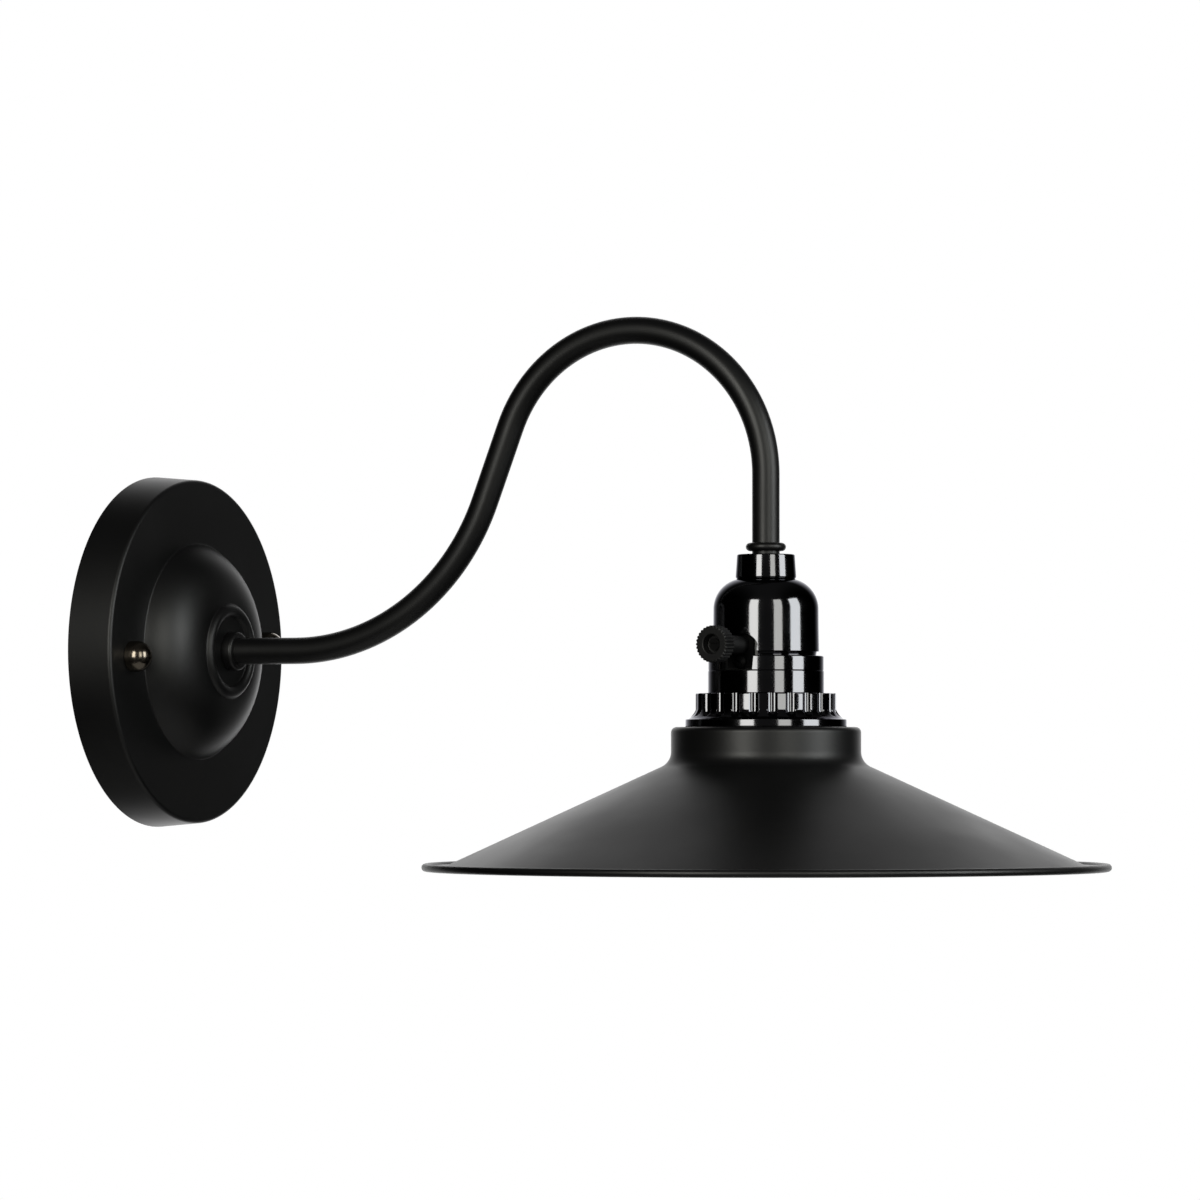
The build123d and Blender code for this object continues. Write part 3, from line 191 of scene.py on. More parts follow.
# Satin black polyester powder coat, sprayed and baked. It gives soft, broad highlights. Its
# orange peel is 1.5 mm wide and a few microns high, so it shows only where a light glances off
# it, and its roughness drifts a little over the surface.
powder_coat, tree, place = new_finish("black_powder_coat")
peel = add_node(
    tree, "ShaderNodeTexNoise", {"Scale": 1 / (1.5 * mm), "Detail": 2.0}, {"Vector": place}
)
drift = add_node(
    tree, "ShaderNodeTexNoise", {"Scale": 1 / (35 * mm), "Detail": 3.0}, {"Vector": place}
)
sheen = add_node(
    tree,
    "ShaderNodeMapRange",
    {"From Min": 0.3, "From Max": 0.7, "To Min": 0.4, "To Max": 0.46},
    {"Value": drift.outputs["Fac"]},
)
tint = add_node(
    tree,
    "ShaderNodeMix",
    {"A": linear("#060607"), "B": linear("#0a0a0b")},
    {"Factor": drift.outputs["Fac"]},
    data_type="RGBA",
)
relief = add_node(
    tree,
    "ShaderNodeBump",
    {"Strength": 0.12, "Distance": 0.05 * mm},
    {"Height": peel.outputs["Fac"]},
)
coat = add_node(
    tree,
    "ShaderNodeBsdfPrincipled",
    {"IOR": 1.6},
    {
        "Base Color": tint.outputs["Result"],
        "Roughness": sheen.outputs["Result"],
        "Normal": relief.outputs["Normal"],
    },
)
add_node(tree, "ShaderNodeOutputMaterial", links={"Surface": coat.outputs["BSDF"]})

# Out into the room, along the wall, and up.
room, across, up = (0, -1, 0), (1, 0, 0), (0, 0, 1)

# The canopy's levels are depths from the wall, and its radii are from the arm's axis.
canopy_depth, seat_depth = 17.5, 31.3
canopy_foot, canopy_edge, tube_hole = 66.7, 65.2, 5.25
dome_foot, crown = 41.0, 18.0
dome_rise = seat_depth - canopy_depth
dome_curve = ((dome_foot - crown) ** 2 + dome_rise**2) / (2 * dome_rise)
dome_start = degrees(asin((dome_curve - dome_rise) / dome_curve))
dome_line = arc((crown, seat_depth - dome_curve), dome_curve, dome_start, 90, 24)

bead_middle, bead_half, bead_rise = 15.5, 2.5, 1.8
bead_curve = (bead_half**2 + bead_rise**2) / (2 * bead_rise)
bead_sweep = degrees(asin(bead_half / bead_curve))
bead_centre = (bead_middle, seat_depth + bead_rise - bead_curve)
bead_line = arc(bead_centre, bead_curve, 90 - bead_sweep, 90 + bead_sweep, 14)

canopy_sheet = 1.0
canopy_outline = rounded(
    [(canopy_foot, 0, 0), (canopy_edge, canopy_depth, 1.4), (dome_foot, canopy_depth, 0.8)]
    + sharp(dome_line[1:-1])
    + [(crown, seat_depth, 0.5)]
    + sharp(bead_line[1:-1])
    + [(bead_middle - bead_half, seat_depth, 0.5), (tube_hole, seat_depth, 0)]
)
canopy_loop = np.vstack([canopy_outline, moved(canopy_outline, -canopy_sheet)[::-1]])
surface(
    "canopy_plate",
    turned(canopy_loop, (0, 0, 0), room, across, 256),
    "body",
    ["canopy"],
    powder_coat,
)

# ---------------------------------------------------------------- canopy's cap nuts
# Two domed brass nuts, nickel plated and polished, hold the canopy on the bracket's studs.
# The plate is thin and warm, so the dome shows one small bright reflection of each light.

bright_nickel, tree, place = new_finish("polished_warm_nickel")
wear = add_node(
    tree, "ShaderNodeTexNoise", {"Scale": 1 / (1.2 * mm), "Detail": 4.0}, {"Vector": place}
)
polish = add_node(
    tree,
    "ShaderNodeMapRange",
    {"From Min": 0.35, "From Max": 0.7, "To Min": 0.16, "To Max": 0.27},
    {"Value": wear.outputs["Fac"]},
)
plate = add_node(
    tree,
    "ShaderNodeBsdfPrincipled",
    {"Base Color": linear("#857c70"), "Metallic": 1.0},
    {"Roughness": polish.outputs["Result"]},
)
add_node(tree, "ShaderNodeOutputMaterial", links={"Surface": plate.outputs["BSDF"]})

nut_radius, nut_side = 5.8, 2.3
nut_bore, nut_bore_depth = 2.1, 2.9
nut_outline = rounded(
    [(0, nut_bore_depth, 0), (nut_bore, nut_bore_depth, 0), (nut_bore, 0, 0)]
    + [(nut_radius, 0, 0.35), (nut_radius, nut_side, 0)]
    + sharp(arc((0, nut_side), nut_radius, 0, 90, 16)[1:-1])
    + [(0, nut_side + nut_radius, 0)]
)
stud_reach = 50.0
stud_turn = radians(2.9)  # the line of the two nuts isn't quite level
for side, replaced in (-1, ["canopy_cap_nuts"]), (1, []):
    reach_out = side * stud_reach
    stud = (reach_out * cos(stud_turn), -canopy_depth, reach_out * sin(stud_turn))
    surface(
        f"cap_nut_{'left' if side < 0 else 'right'}",
        turned(nut_outline, stud, room, across, 64),
        "body",
        replaced,
        bright_nickel,
        closed=False,
    )

# ---------------------------------------------------------------- arm collar
# A round collar nut of steel, turned, tapped for the tube and powder coated with the canopy.
# It bears on the canopy's seat, against a washer and a nut behind it.

tube_fit = 5.08  # the bore of each piece that fits round the tube
collar_side, collar_face = 7.3, 35.5
arm_collar_outline = rounded(
    [(tube_fit, seat_depth, 0), (collar_side, seat_depth, 0.3), (collar_side, collar_face, 1.1)]
    + [(tube_fit, collar_face, 0)],
    8,
)
surface(
    "arm_collar_nut",
    turned(arm_collar_outline, (0, 0, 0), room, across, 96),
    "body",
    ["arm_collar"],
    powder_coat,
)

# ---------------------------------------------------------------- gooseneck arm
# One length of 10 mm steel tube with a 1 mm wall, drawn, bent on two formers and powder
# coated. It leaves the wall level, climbs at 69 degrees and turns over into the lampholder.

reach = 255.0
tube_radius, tube_bore = 5.0, 4.0
low_bend, high_bend, climb, slant = 86.0, 54.0, radians(68.8), 29.3
tube_back, tube_foot = 24.8, 17.7
bend_start = reach - ((low_bend + high_bend) * sin(climb) + slant * cos(climb) + high_bend)
low_top = (bend_start + low_bend * sin(climb), low_bend * (1 - cos(climb)))
high_start = (low_top[0] + slant * cos(climb), low_top[1] + slant * sin(climb))
high_centre = (high_start[0] + high_bend * sin(climb), high_start[1] - high_bend * cos(climb))

# Stations along the centre line: a place (out from the wall, height) and a heading. Each
# straight is a run of equal steps, and each bend a run of equal angles.
back_steps, low_steps, high_steps, foot_steps = 6, 35, 72, 9
centre_line = np.vstack(
    [
        np.stack([np.linspace(tube_back, bend_start, back_steps), np.zeros(back_steps)], 1),
        arc((bend_start, low_bend), low_bend, -90, degrees(climb) - 90, low_steps + 1)[1:],
        arc(high_centre, high_bend, 90 + degrees(climb), 0, high_steps),
        np.linspace((reach, high_centre[1]), (reach, tube_foot), foot_steps + 1)[1:],
    ]
)
heading = np.concatenate(
    [
        np.zeros(back_steps),
        np.linspace(0, climb, low_steps + 1)[1:],
        np.linspace(climb, -pi / 2, high_steps),
        np.full(foot_steps, -pi / 2),
    ]
)


def carried(radius):
    """A circle of this radius carried along the arm's centre line, square to its heading."""
    angle = np.linspace(0, 2 * pi, 48, endpoint=False)
    out = -np.sin(heading)[:, None] * np.cos(angle) * radius
    rise = np.cos(heading)[:, None] * np.cos(angle) * radius
    side = np.broadcast_to(np.sin(angle) * radius, out.shape)
    return np.stack([side, -(centre_line[:, :1] + out), centre_line[:, 1:] + rise], -1)


surface(
    "gooseneck_tube",
    np.concatenate([carried(tube_radius), carried(tube_bore)[::-1]]),
    "body",
    ["arm_tube"],
    powder_coat,
)

# ---------------------------------------------------------------- lampholder's collar and ring
# The half-round ring is turned steel with the arm's coat. The collar below it and the
# lampholder's whole shell are turned and spun brass, polished under a dark nickel plate, and
# the collar clamps the lampholder on the tube's end.

# Black nickel is a thin dark plate that keeps the polish of the brass under it. Each studio
# light shows in it as an upright strip with a clean edge, and all the rest of it stays dark.
black_nickel, tree, place = new_finish("polished_black_nickel")
haze = add_node(
    tree, "ShaderNodeTexNoise", {"Scale": 1 / (9 * mm), "Detail": 5.0}, {"Vector": place}
)
polish = add_node(
    tree,
    "ShaderNodeMapRange",
    {"From Min": 0.3, "From Max": 0.7, "To Min": 0.07, "To Max": 0.12},
    {"Value": haze.outputs["Fac"]},
)
ripple = add_node(
    tree, "ShaderNodeTexNoise", {"Scale": 1 / (4 * mm), "Detail": 1.0}, {"Vector": place}
)
relief = add_node(
    tree,
    "ShaderNodeBump",
    {"Strength": 0.03, "Distance": 0.05 * mm},
    {"Height": ripple.outputs["Fac"]},
)
plate = add_node(
    tree,
    "ShaderNodeBsdfPrincipled",
    {"Base Color": linear("#6a6a6d"), "Metallic": 1.0, "Specular Tint": linear("#c0c0c4")},
    {"Roughness": polish.outputs["Result"], "Normal": relief.outputs["Normal"]},
)
add_node(tree, "ShaderNodeOutputMaterial", links={"Surface": plate.outputs["BSDF"]})

lamp_axis = (0, -reach, 0)
cap_top, collar_top = 24.5, 33.5
ring_level, ring_half = 36.2, 1.5
ring_back = [(tube_fit, ring_level + ring_half), (tube_fit, ring_level - ring_half)]
ring_face = arc((5.8, ring_level), ring_half, -90, 90, 16)
surface(
    "half_round_ring",
    turned(np.vstack([ring_back, ring_face]), lamp_axis, up, room, 96),
    "body",
    ["check_ring"],
    powder_coat,
)

collar_outline = rounded(
    [(tube_fit, cap_top, 0), (11.1, cap_top, 0.9), (10.5, collar_top, 0.5)]
    + [(tube_fit, collar_top, 0)]
)
surface(
    "lampholder_collar",
    turned(collar_outline, lamp_axis, up, room, 128),
    "body",
    ["socket_collar"],
    black_nickel,
)

# ---------------------------------------------------------------- lampholder's cap and shell
# The cap and the shell below it are 0.7 mm brass, spun and plated as the collar is. The cap
# has a spun groove and a wider foot that the shell screws into, and one arched notch for the
# switch's key is cut through both.

holder_sheet = 0.7
joint = -8.8  # the level where the cap's foot meets the shell's band
key_turn = radians(8.0)
key_out = (-cos(key_turn), sin(key_turn), 0)
key_across = (-sin(key_turn), -cos(key_turn), 0)

notch_height, notch_corner = 13.3, 5.5
notch_top = joint + notch_height
notch_half_foot, notch_half_head = 6.8, 8.0
notch_columns, plain_columns = 20, 192  # points across half the notch, and round the rest

skirt_top, skirt_mouth = -17.2, -47.0
skirt_thread_top, skirt_thread_foot = -30.5, -46.4
skirt_pitch, skirt_dip = 1.6, 0.4


def notch_side(height):
    """Half the notch's width between its straight sides, which taper to the foot."""
    share = np.clip((height - joint) / notch_height, 0, 1)
    return notch_half_foot + (notch_half_head - notch_half_foot) * share


def notch_head(aside):
    """How high the notch reaches at a distance from its middle: a flat head, round corners."""
    beyond = np.clip(aside - notch_side(notch_top) + notch_corner, 0, notch_corner)
    return notch_top - notch_corner + np.sqrt(notch_corner**2 - beyond**2)


def skirt_thread(level, angle):
    """How far the skirt's rolled thread dips below its crest: a wave that climbs one pitch a
    turn, and fades out over a millimetre near the mouth and under the shade rings."""
    fade = np.clip(np.minimum(skirt_thread_top - level, level - skirt_thread_foot), 0, 1)
    return fade * skirt_dip / 2 * (1 - np.cos(2 * pi * level / skirt_pitch + angle))


def notched(name, outline, replaced):
    """A spun sheet with the key's notch. One column of points follows each side of the notch,
    the columns between them end on its head, and the faces in the opening are left out."""
    level = outline[:, 1]
    shares = np.sin(np.linspace(0, pi / 2, notch_columns + 1))
    around = np.linspace(0, 1, plain_columns + 1)[1:-1]
    sides, openings = [], []
    for line in (outline, moved(outline, holder_sheet)):
        # Where the cap draws in above the notch, its columns spread no wider than at 18.2 mm.
        edge = np.arcsin(notch_side(level) / np.maximum(line[:, 0], 18.2))[:, None]
        beside = edge + (2 * pi - 2 * edge) * around
        angle = np.hstack([edge * shares, beside, 2 * pi - (edge * shares)[:, :0:-1]])
        columns = angle.shape[1]
        within = np.minimum(np.arange(columns), columns - np.arange(columns))
        aside = line[:, :1] * np.abs(np.sin(angle))
        opening = (within <= notch_columns) & (level[:, None] >= joint - 0.01)
        opening &= level[:, None] <= notch_head(aside)
        radius = line[:, :1] - skirt_thread(level[:, None], angle)
        height = np.repeat(line[:, 1:], columns, 1)
        for column in np.flatnonzero(within < notch_columns):
            first = np.argmax(opening[:, column])
            if first == 0:
                continue
            head = notch_head(aside[first, column])
            share = (level[first - 1] - head) / (level[first - 1] - level[first])
            for grid in (radius, height, angle):
                above, below = grid[first - 1, column], grid[first, column]
                grid[first:, column] = above * (1 - share) + below * share
        sides.append(about(lamp_axis, up, key_out, radius, height, angle).reshape(-1, 3))
        openings.append(opening)
    faces = grid_faces(len(outline), columns, closed=False)
    faces = faces[~openings[0].reshape(-1)[faces].all(axis=1)]
    # The two sides are joined by a strip along each edge that has a face on one side only.
    edges = np.vstack([faces[:, [corner, (corner + 1) % 4]] for corner in range(4)])
    _, place, times = np.unique(
        np.sort(edges, 1), axis=0, return_index=True, return_counts=True
    )
    rim = edges[place[times == 1]]
    behind = len(sides[0])
    strips = np.hstack([rim[:, ::-1], rim + behind])
    faces = np.vstack([faces, faces[:, ::-1] + behind, strips])
    used, faces = np.unique(faces, return_inverse=True)
    points = np.vstack(sides)[used]
    add_piece(
        name, points, faces.reshape(-1, 4), "body", replaced, black_nickel
    )


def finer(outline, low, high, step):
    """The outline with more points on it between two levels, at most a step apart in height."""
    pieces = [outline[:1]]
    for start, end in zip(outline[:-1], outline[1:]):
        inside = low <= min(start[1], end[1]) and max(start[1], end[1]) <= high
        count = max(1, int(abs(end[1] - start[1]) / step)) if inside else 1
        pieces.append(start + np.linspace(0, 1, count + 1)[1:, None] * (end - start))
    return np.vstack(pieces)


cap_neck = 10.7
shoulder_curve, shoulder_radius = 11.3, 19.15
shoulder_start = degrees(acos((cap_neck - shoulder_radius + shoulder_curve) / shoulder_curve))
shoulder_foot = cap_top - shoulder_curve * sin(radians(shoulder_start))
shoulder_centre = (shoulder_radius - shoulder_curve, shoulder_foot)
cap_outline = rounded(
    [(tube_hole, cap_top, 0), (cap_neck, cap_top, 0)]
    + sharp(arc(shoulder_centre, shoulder_curve, shoulder_start, 0, 20)[1:])
    + [(19.2, 7.0, 0), (19.25, 4.5, 0), (19.35, -1.9, 0.25), (18.5, -1.95, 0.2)]
    + [(18.25, -3.35, 0.2), (21.0, -3.4, 0.5), (21.0, joint, 0.3), (20.4, joint, 0)]
)
notch_span = (joint - 0.1, notch_top + 0.1)
notched("lampholder_cap", finer(cap_outline, *notch_span, 0.35), ["socket_cap"])

shell_outline = rounded(
    [(20.22, joint + 4.6, 0), (20.22, joint, 0), (21.1, joint, 0.3), (21.1, -17.0, 0.3)]
    + [(20.0, skirt_top, 0), (20.0, skirt_mouth, 0.6), (17.7, skirt_mouth, 0)]
)
shell_outline = finer(shell_outline, *notch_span, 0.35)
shell_outline = finer(shell_outline, skirt_mouth + 0.5, skirt_top, 0.2)
notched("lampholder_shell", shell_outline, ["socket_shell"])

# ---------------------------------------------------------------- switch key and its housing
# The key is one moulding of black nylon: a ridged knob with a deep cup in its face, on a round
# stem. It turns in a black phenolic housing that fills the notch, behind a small blackened
# plate and one round-headed screw.

# Black nylon, moulded in a finely spark-eroded tool. The grain leaves it matt, so its ridges
# show as soft grey edges.
black_nylon, tree, place = new_finish("moulded_black_nylon")
grain = add_node(
    tree, "ShaderNodeTexNoise", {"Scale": 1 / (0.35 * mm), "Detail": 3.0}, {"Vector": place}
)
relief = add_node(
    tree,
    "ShaderNodeBump",
    {"Strength": 0.25, "Distance": 0.03 * mm},
    {"Height": grain.outputs["Fac"]},
)
matt = add_node(
    tree,
    "ShaderNodeMapRange",
    {"From Min": 0.3, "From Max": 0.7, "To Min": 0.42, "To Max": 0.55},
    {"Value": grain.outputs["Fac"]},
)
nylon = add_node(
    tree,
    "ShaderNodeBsdfPrincipled",
    {"Base Color": linear("#0e0e0f"), "IOR": 1.53},
    {"Roughness": matt.outputs["Result"], "Normal": relief.outputs["Normal"]},
)
add_node(tree, "ShaderNodeOutputMaterial", links={"Surface": nylon.outputs["BSDF"]})

# Black phenolic, press moulded. It has a low gloss, and its filler flows in slow dark drifts.
phenolic, tree, place = new_finish("moulded_black_phenolic")
flow = add_node(
    tree, "ShaderNodeTexNoise", {"Scale": 1 / (6 * mm), "Detail": 4.0}, {"Vector": place}
)
blacks = add_node(
    tree,
    "ShaderNodeMix",
    {"A": linear("#08080a"), "B": linear("#111113")},
    {"Factor": flow.outputs["Fac"]},
    data_type="RGBA",
)
resin = add_node(
    tree,
    "ShaderNodeBsdfPrincipled",
    {"Roughness": 0.36, "IOR": 1.6},
    {"Base Color": blacks.outputs["Result"]},
)
add_node(tree, "ShaderNodeOutputMaterial", links={"Surface": resin.outputs["BSDF"]})


def dress(finish, *names):
    """Puts a finish on CAD nodes that are shown as they are."""
    for name in names:
        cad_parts[name].material_slots[0].material = finish


dress(phenolic, "switch_housing", "contact_carrier", "tube_bushes")

# Zinc plated and passivated steel, as on cheap screws and pressed brackets: a dull grey with
# a fine mottle from the plating.
zinc_steel, tree, place = new_finish("zinc_plated_steel")
mottle = add_node(
    tree, "ShaderNodeTexNoise", {"Scale": 1 / (1.8 * mm), "Detail": 4.0}, {"Vector": place}
)
dullness = add_node(
    tree,
    "ShaderNodeMapRange",
    {"From Min": 0.3, "From Max": 0.7, "To Min": 0.3, "To Max": 0.46},
    {"Value": mottle.outputs["Fac"]},
)
passivated = add_node(
    tree,
    "ShaderNodeMix",
    {"A": linear("#a9abad"), "B": linear("#c3c4c2")},
    {"Factor": mottle.outputs["Fac"]},
    data_type="RGBA",
)
zinc = add_node(
    tree,
    "ShaderNodeBsdfPrincipled",
    {"Metallic": 1.0},
    {"Base Color": passivated.outputs["Result"], "Roughness": dullness.outputs["Result"]},
)
add_node(tree, "ShaderNodeOutputMaterial", links={"Surface": zinc.outputs["BSDF"]})
dress(zinc_steel, "switch_spindle", "detent_spring")

# Phosphated and oiled steel, as the switch's small fastenings have: a dead black with a faint
# crystalline grain and very little sheen.
black_steel, tree, place = new_finish("blackened_steel")
crystals = add_node(
    tree, "ShaderNodeTexNoise", {"Scale": 1 / (0.5 * mm), "Detail": 4.0}, {"Vector": place}
)
oiled = add_node(
    tree,
    "ShaderNodeMapRange",
    {"From Min": 0.3, "From Max": 0.7, "To Min": 0.5, "To Max": 0.65},
    {"Value": crystals.outputs["Fac"]},
)
phosphate = add_node(
    tree,
    "ShaderNodeBsdfPrincipled",
    {"Base Color": linear("#050506"), "Specular IOR Level": 0.2},
    {"Roughness": oiled.outputs["Result"]},
)
add_node(tree, "ShaderNodeOutputMaterial", links={"Surface": phosphate.outputs["BSDF"]})
dress(black_steel, "spindle_plate", "knob_screw")

key_level = 0.4
stem_radius, knob_radius, cup_radius = 3.3, 6.7, 3.45
knob_back, knob_face, cup_floor = 30.8, 36.4, 33.0
spindle_bore, screw_bore = 1.58, 1.05
knob_outline = rounded(
    [(spindle_bore, 12.0, 0), (stem_radius, 12.0, 0.2), (stem_radius, knob_back, 0.4)]
    + [(knob_radius, knob_back, 0.5), (knob_radius, knob_face, 0.5)]
    + [(cup_radius, knob_face, 0.4), (cup_radius, cup_floor, 0.3), (screw_bore, cup_floor, 0)]
    + [(screw_bore, 29.05, 0), (spindle_bore, 29.05, 0)]
)
knob_outline = finer(knob_outline, knob_back - 0.1, knob_face + 0.1, 0.6)
# Thirty ridges round the knob: a rounded wave that runs out over the knob's two edges and is
# nothing inside the cup.
ridges, ridge_depth = 30, 0.45
knob_turn = np.linspace(0, 2 * pi, 20 * ridges, endpoint=False)[None]
ridge = ridge_depth * (1 - np.abs(np.cos(ridges / 2 * knob_turn)) ** 1.2)
on_rim = np.clip((knob_outline[:, :1] - 5.4) / 0.7, 0, 1)
knob_out = knob_outline[:, :1] - on_rim * ridge
key_origin = (0, -reach, key_level)
surface(
    "ridged_knob_and_stem",
    about(key_origin, key_out, key_across, knob_out, knob_outline[:, 1:], knob_turn),
    "switch_key",
    ["switch_knob"],
    black_nylon,
)

# The screw has a low domed head with a straight slot, cut as a dip in the head.
screw_origin = (0, -reach, key_level - 6.2)
screw_body = rounded([(0, 11.8, 0), (1.3, 11.8, 0.2), (1.3, 16.8, 0), (2.6, 16.8, 0)])
screw_dome = arc((0, 0), 2.7, 8, 90, 18) * (0.96, 0.67) + (0, 16.8)
screw_outline = np.vstack([screw_body, (2.6, 17.5), screw_dome])
screw_grid = turned(screw_outline, screw_origin, key_out, key_across, 96)
slot_depth, slot_half, slot_bevel = 0.7, 0.42, 0.1
from_slot = (screw_grid - screw_origin) @ (0.5 * np.array(key_across) + 0.866 * np.array(up))
on_head = (screw_grid - screw_origin) @ np.array(key_out) > 17.4
slot = slot_depth * np.clip((slot_half - np.abs(from_slot)) / slot_bevel, 0, 1) * on_head
surface(
    "housing_screw",
    screw_grid - slot[..., None] * key_out,
    "body",
    ["plate_screw"],
    black_steel,
    closed=False,
)

# ---------------------------------------------------------------- inside the lampholder
# The screw shell is 0.5 mm brass with a rolled thread of 3.6 mm pitch, and the centre contact
# is a tongue of spring brass. A tube of grey vulcanised fibre lies between the screw shell and
# the outer shell.

# Bare rolled brass, handled and a little aged: warm and bright, under a thin uneven tarnish.
bare_brass, tree, place = new_finish("bare_brass")
tarnish = add_node(
    tree, "ShaderNodeTexNoise", {"Scale": 1 / (5 * mm), "Detail": 5.0}, {"Vector": place}
)
brass_tone = add_node(
    tree,
    "ShaderNodeMix",
    {"A": linear("#d9b25f"), "B": linear("#b88d45")},
    {"Factor": tarnish.outputs["Fac"]},
    data_type="RGBA",
)
brass_polish = add_node(
    tree,
    "ShaderNodeMapRange",
    {"From Min": 0.3, "From Max": 0.7, "To Min": 0.2, "To Max": 0.34},
    {"Value": tarnish.outputs["Fac"]},
)
brass = add_node(
    tree,
    "ShaderNodeBsdfPrincipled",
    {"Metallic": 1.0},
    {"Base Color": brass_tone.outputs["Result"], "Roughness": brass_polish.outputs["Result"]},
)
add_node(tree, "ShaderNodeOutputMaterial", links={"Surface": brass.outputs["BSDF"]})
dress(bare_brass, "terminal_barrels", "earth_terminal", "line_terminal", "neutral_terminal")
dress(bare_brass, "line_contact", "feed_strap", "rotor_contact")
dress(bare_brass, "contact_foot", "centre_contact")

# The thread is a wave that climbs one pitch a turn: its crest is the clear bore, and it
# fades to a plain rim at the mouth. The wall above the thread is plain and half a millimetre
# wider.
clear_bore, shell_pitch, shell_sheet = 13.4, 3.63, 0.5
thread_turn = np.linspace(0, 2 * pi, 120, endpoint=False)[None]
thread_level = np.linspace(-22.9, -45.0, 180)[:, None]
fade = np.clip(np.minimum(-28.0 - thread_level, thread_level + 44.6) / 1.2, 0, 1)
widening = 0.5 * np.clip((thread_level + 28.4) / 0.8, 0, 1)
shell_dip = 0.7
wave = shell_dip / 2 * (1 - np.cos(2 * pi * thread_level / shell_pitch + thread_turn))
thread_out = clear_bore + widening + wave * fade
top_plate = np.array([(13.8, -22.5), (9.0, -22.5), (9.0, -22.0), (14.0, -22.0), (14.4, -22.4)])
top_out = np.repeat(top_plate[:, :1], thread_turn.size, 1)
shell_out = np.vstack([thread_out[::-1], top_out, thread_out + shell_sheet])
shell_level = np.vstack([thread_level[::-1], top_plate[:, 1:], thread_level])
surface(
    "threaded_screw_shell",
    about(lamp_axis, up, across, shell_out, shell_level, thread_turn),
    "body",
    ["screw_shell"],
    bare_brass,
)

# Vulcanised fibre, rolled from sheet: a dull warm grey with a felted, slightly raised grain.
fibre, tree, place = new_finish("grey_vulcanised_fibre")
felt = add_node(
    tree, "ShaderNodeTexNoise", {"Scale": 1 / (0.8 * mm), "Detail": 5.0}, {"Vector": place}
)
fibre_tone = add_node(
    tree,
    "ShaderNodeMix",
    {"A": linear("#5f5c58"), "B": linear("#77736d")},
    {"Factor": felt.outputs["Fac"]},
    data_type="RGBA",
)
relief = add_node(
    tree,
    "ShaderNodeBump",
    {"Strength": 0.3, "Distance": 0.05 * mm},
    {"Height": felt.outputs["Fac"]},
)
sheet = add_node(
    tree,
    "ShaderNodeBsdfPrincipled",
    {"Roughness": 0.75},
    {"Base Color": fibre_tone.outputs["Result"], "Normal": relief.outputs["Normal"]},
)
add_node(tree, "ShaderNodeOutputMaterial", links={"Surface": sheet.outputs["BSDF"]})

liner_foot, liner_top = -46.3, -22.0
liner_loop = [(18.45, liner_foot), (19.05, liner_foot), (19.05, liner_top), (18.45, liner_top)]
surface(
    "fibre_liner",
    turned(np.array(liner_loop), lamp_axis, up, room, 128),
    "body",
    ["insulating_liner"],
    fibre,
)

# ---------------------------------------------------------------- hardware, terminals and leads
# The bracket, studs, nuts, washers and screws are zinc plated steel. The terminal block and
# the switch's rotor are off-white thermoplastic, and the leads have PVC insulation in the
# three standard colours.

dress(zinc_steel, "mounting_bracket", "stud_screws", "stud_nuts", "earth_screw")
dress(zinc_steel, "arm_washer", "arm_nut", "socket_washer", "socket_nut")
dress(zinc_steel, "block_screws", "clamp_screws", "terminal_screws", "core_screws")


def moulded(name, colours, size, roughness):
    """A moulded or extruded plastic: two close tones that drift over a size in millimetres. Its
    colour goes right through, so all that shows on it is this drift and a soft sheen."""
    finish, tree, place = new_finish(name)
    drift = add_node(
        tree, "ShaderNodeTexNoise", {"Scale": 1 / (size * mm), "Detail": 3.0}, {"Vector": place}
    )
    tone = add_node(
        tree,
        "ShaderNodeMix",
        {"A": linear(colours[0]), "B": linear(colours[1])},
        {"Factor": drift.outputs["Fac"]},
        data_type="RGBA",
    )
    plastic = add_node(
        tree,
        "ShaderNodeBsdfPrincipled",
        {"Roughness": roughness, "IOR": 1.5},
        {"Base Color": tone.outputs["Result"]},
    )
    add_node(tree, "ShaderNodeOutputMaterial", links={"Surface": plastic.outputs["BSDF"]})
    return finish


white_polyamide = moulded("white_polyamide", ("#dedcd2", "#cfccc0"), 8, 0.42)
dress(white_polyamide, "terminal_block", "switch_rotor")
dress(moulded("brown_lead_pvc", ("#5a3018", "#4b2612"), 12, 0.4), "line_lead")
dress(moulded("blue_lead_pvc", ("#1f4e9a", "#194283"), 12, 0.4), "neutral_lead")
dress(moulded("green_lead_pvc", ("#2f8a3e", "#257534"), 12, 0.4), "earth_lead")

# ---------------------------------------------------------------- upper shade ring
# A turned and plated brass ring screwed on the shell's skirt. Twenty-four round-bottomed
# flutes run down its side and die out in the concave flare above the flange, where a round
# cutter would leave them.

shade_top = -29.2
skirt_fit = 20.08  # the bore of each ring that fits round the skirt
ring_top, ring_side, flange_side = -17.0, 25.5, 29.35
flutes, flute_foot, flute_tool, flute_depth = 24, -23.0, 2.4, 1.0
flare = arc((31.1, -20.9), 5.95, 202, 246, 14)
ring_outline = rounded(
    [(skirt_fit, ring_top, 0), (ring_side, ring_top, 0.5), (ring_side, flute_foot + 0.05, 0)]
    + sharp(flare)
    + [(flange_side, -26.4, 0.4), (flange_side, shade_top, 0.4), (skirt_fit, shade_top, 0)]
)
ring_outline = finer(ring_outline, flute_foot - 0.1, ring_top - 0.4, 0.5)
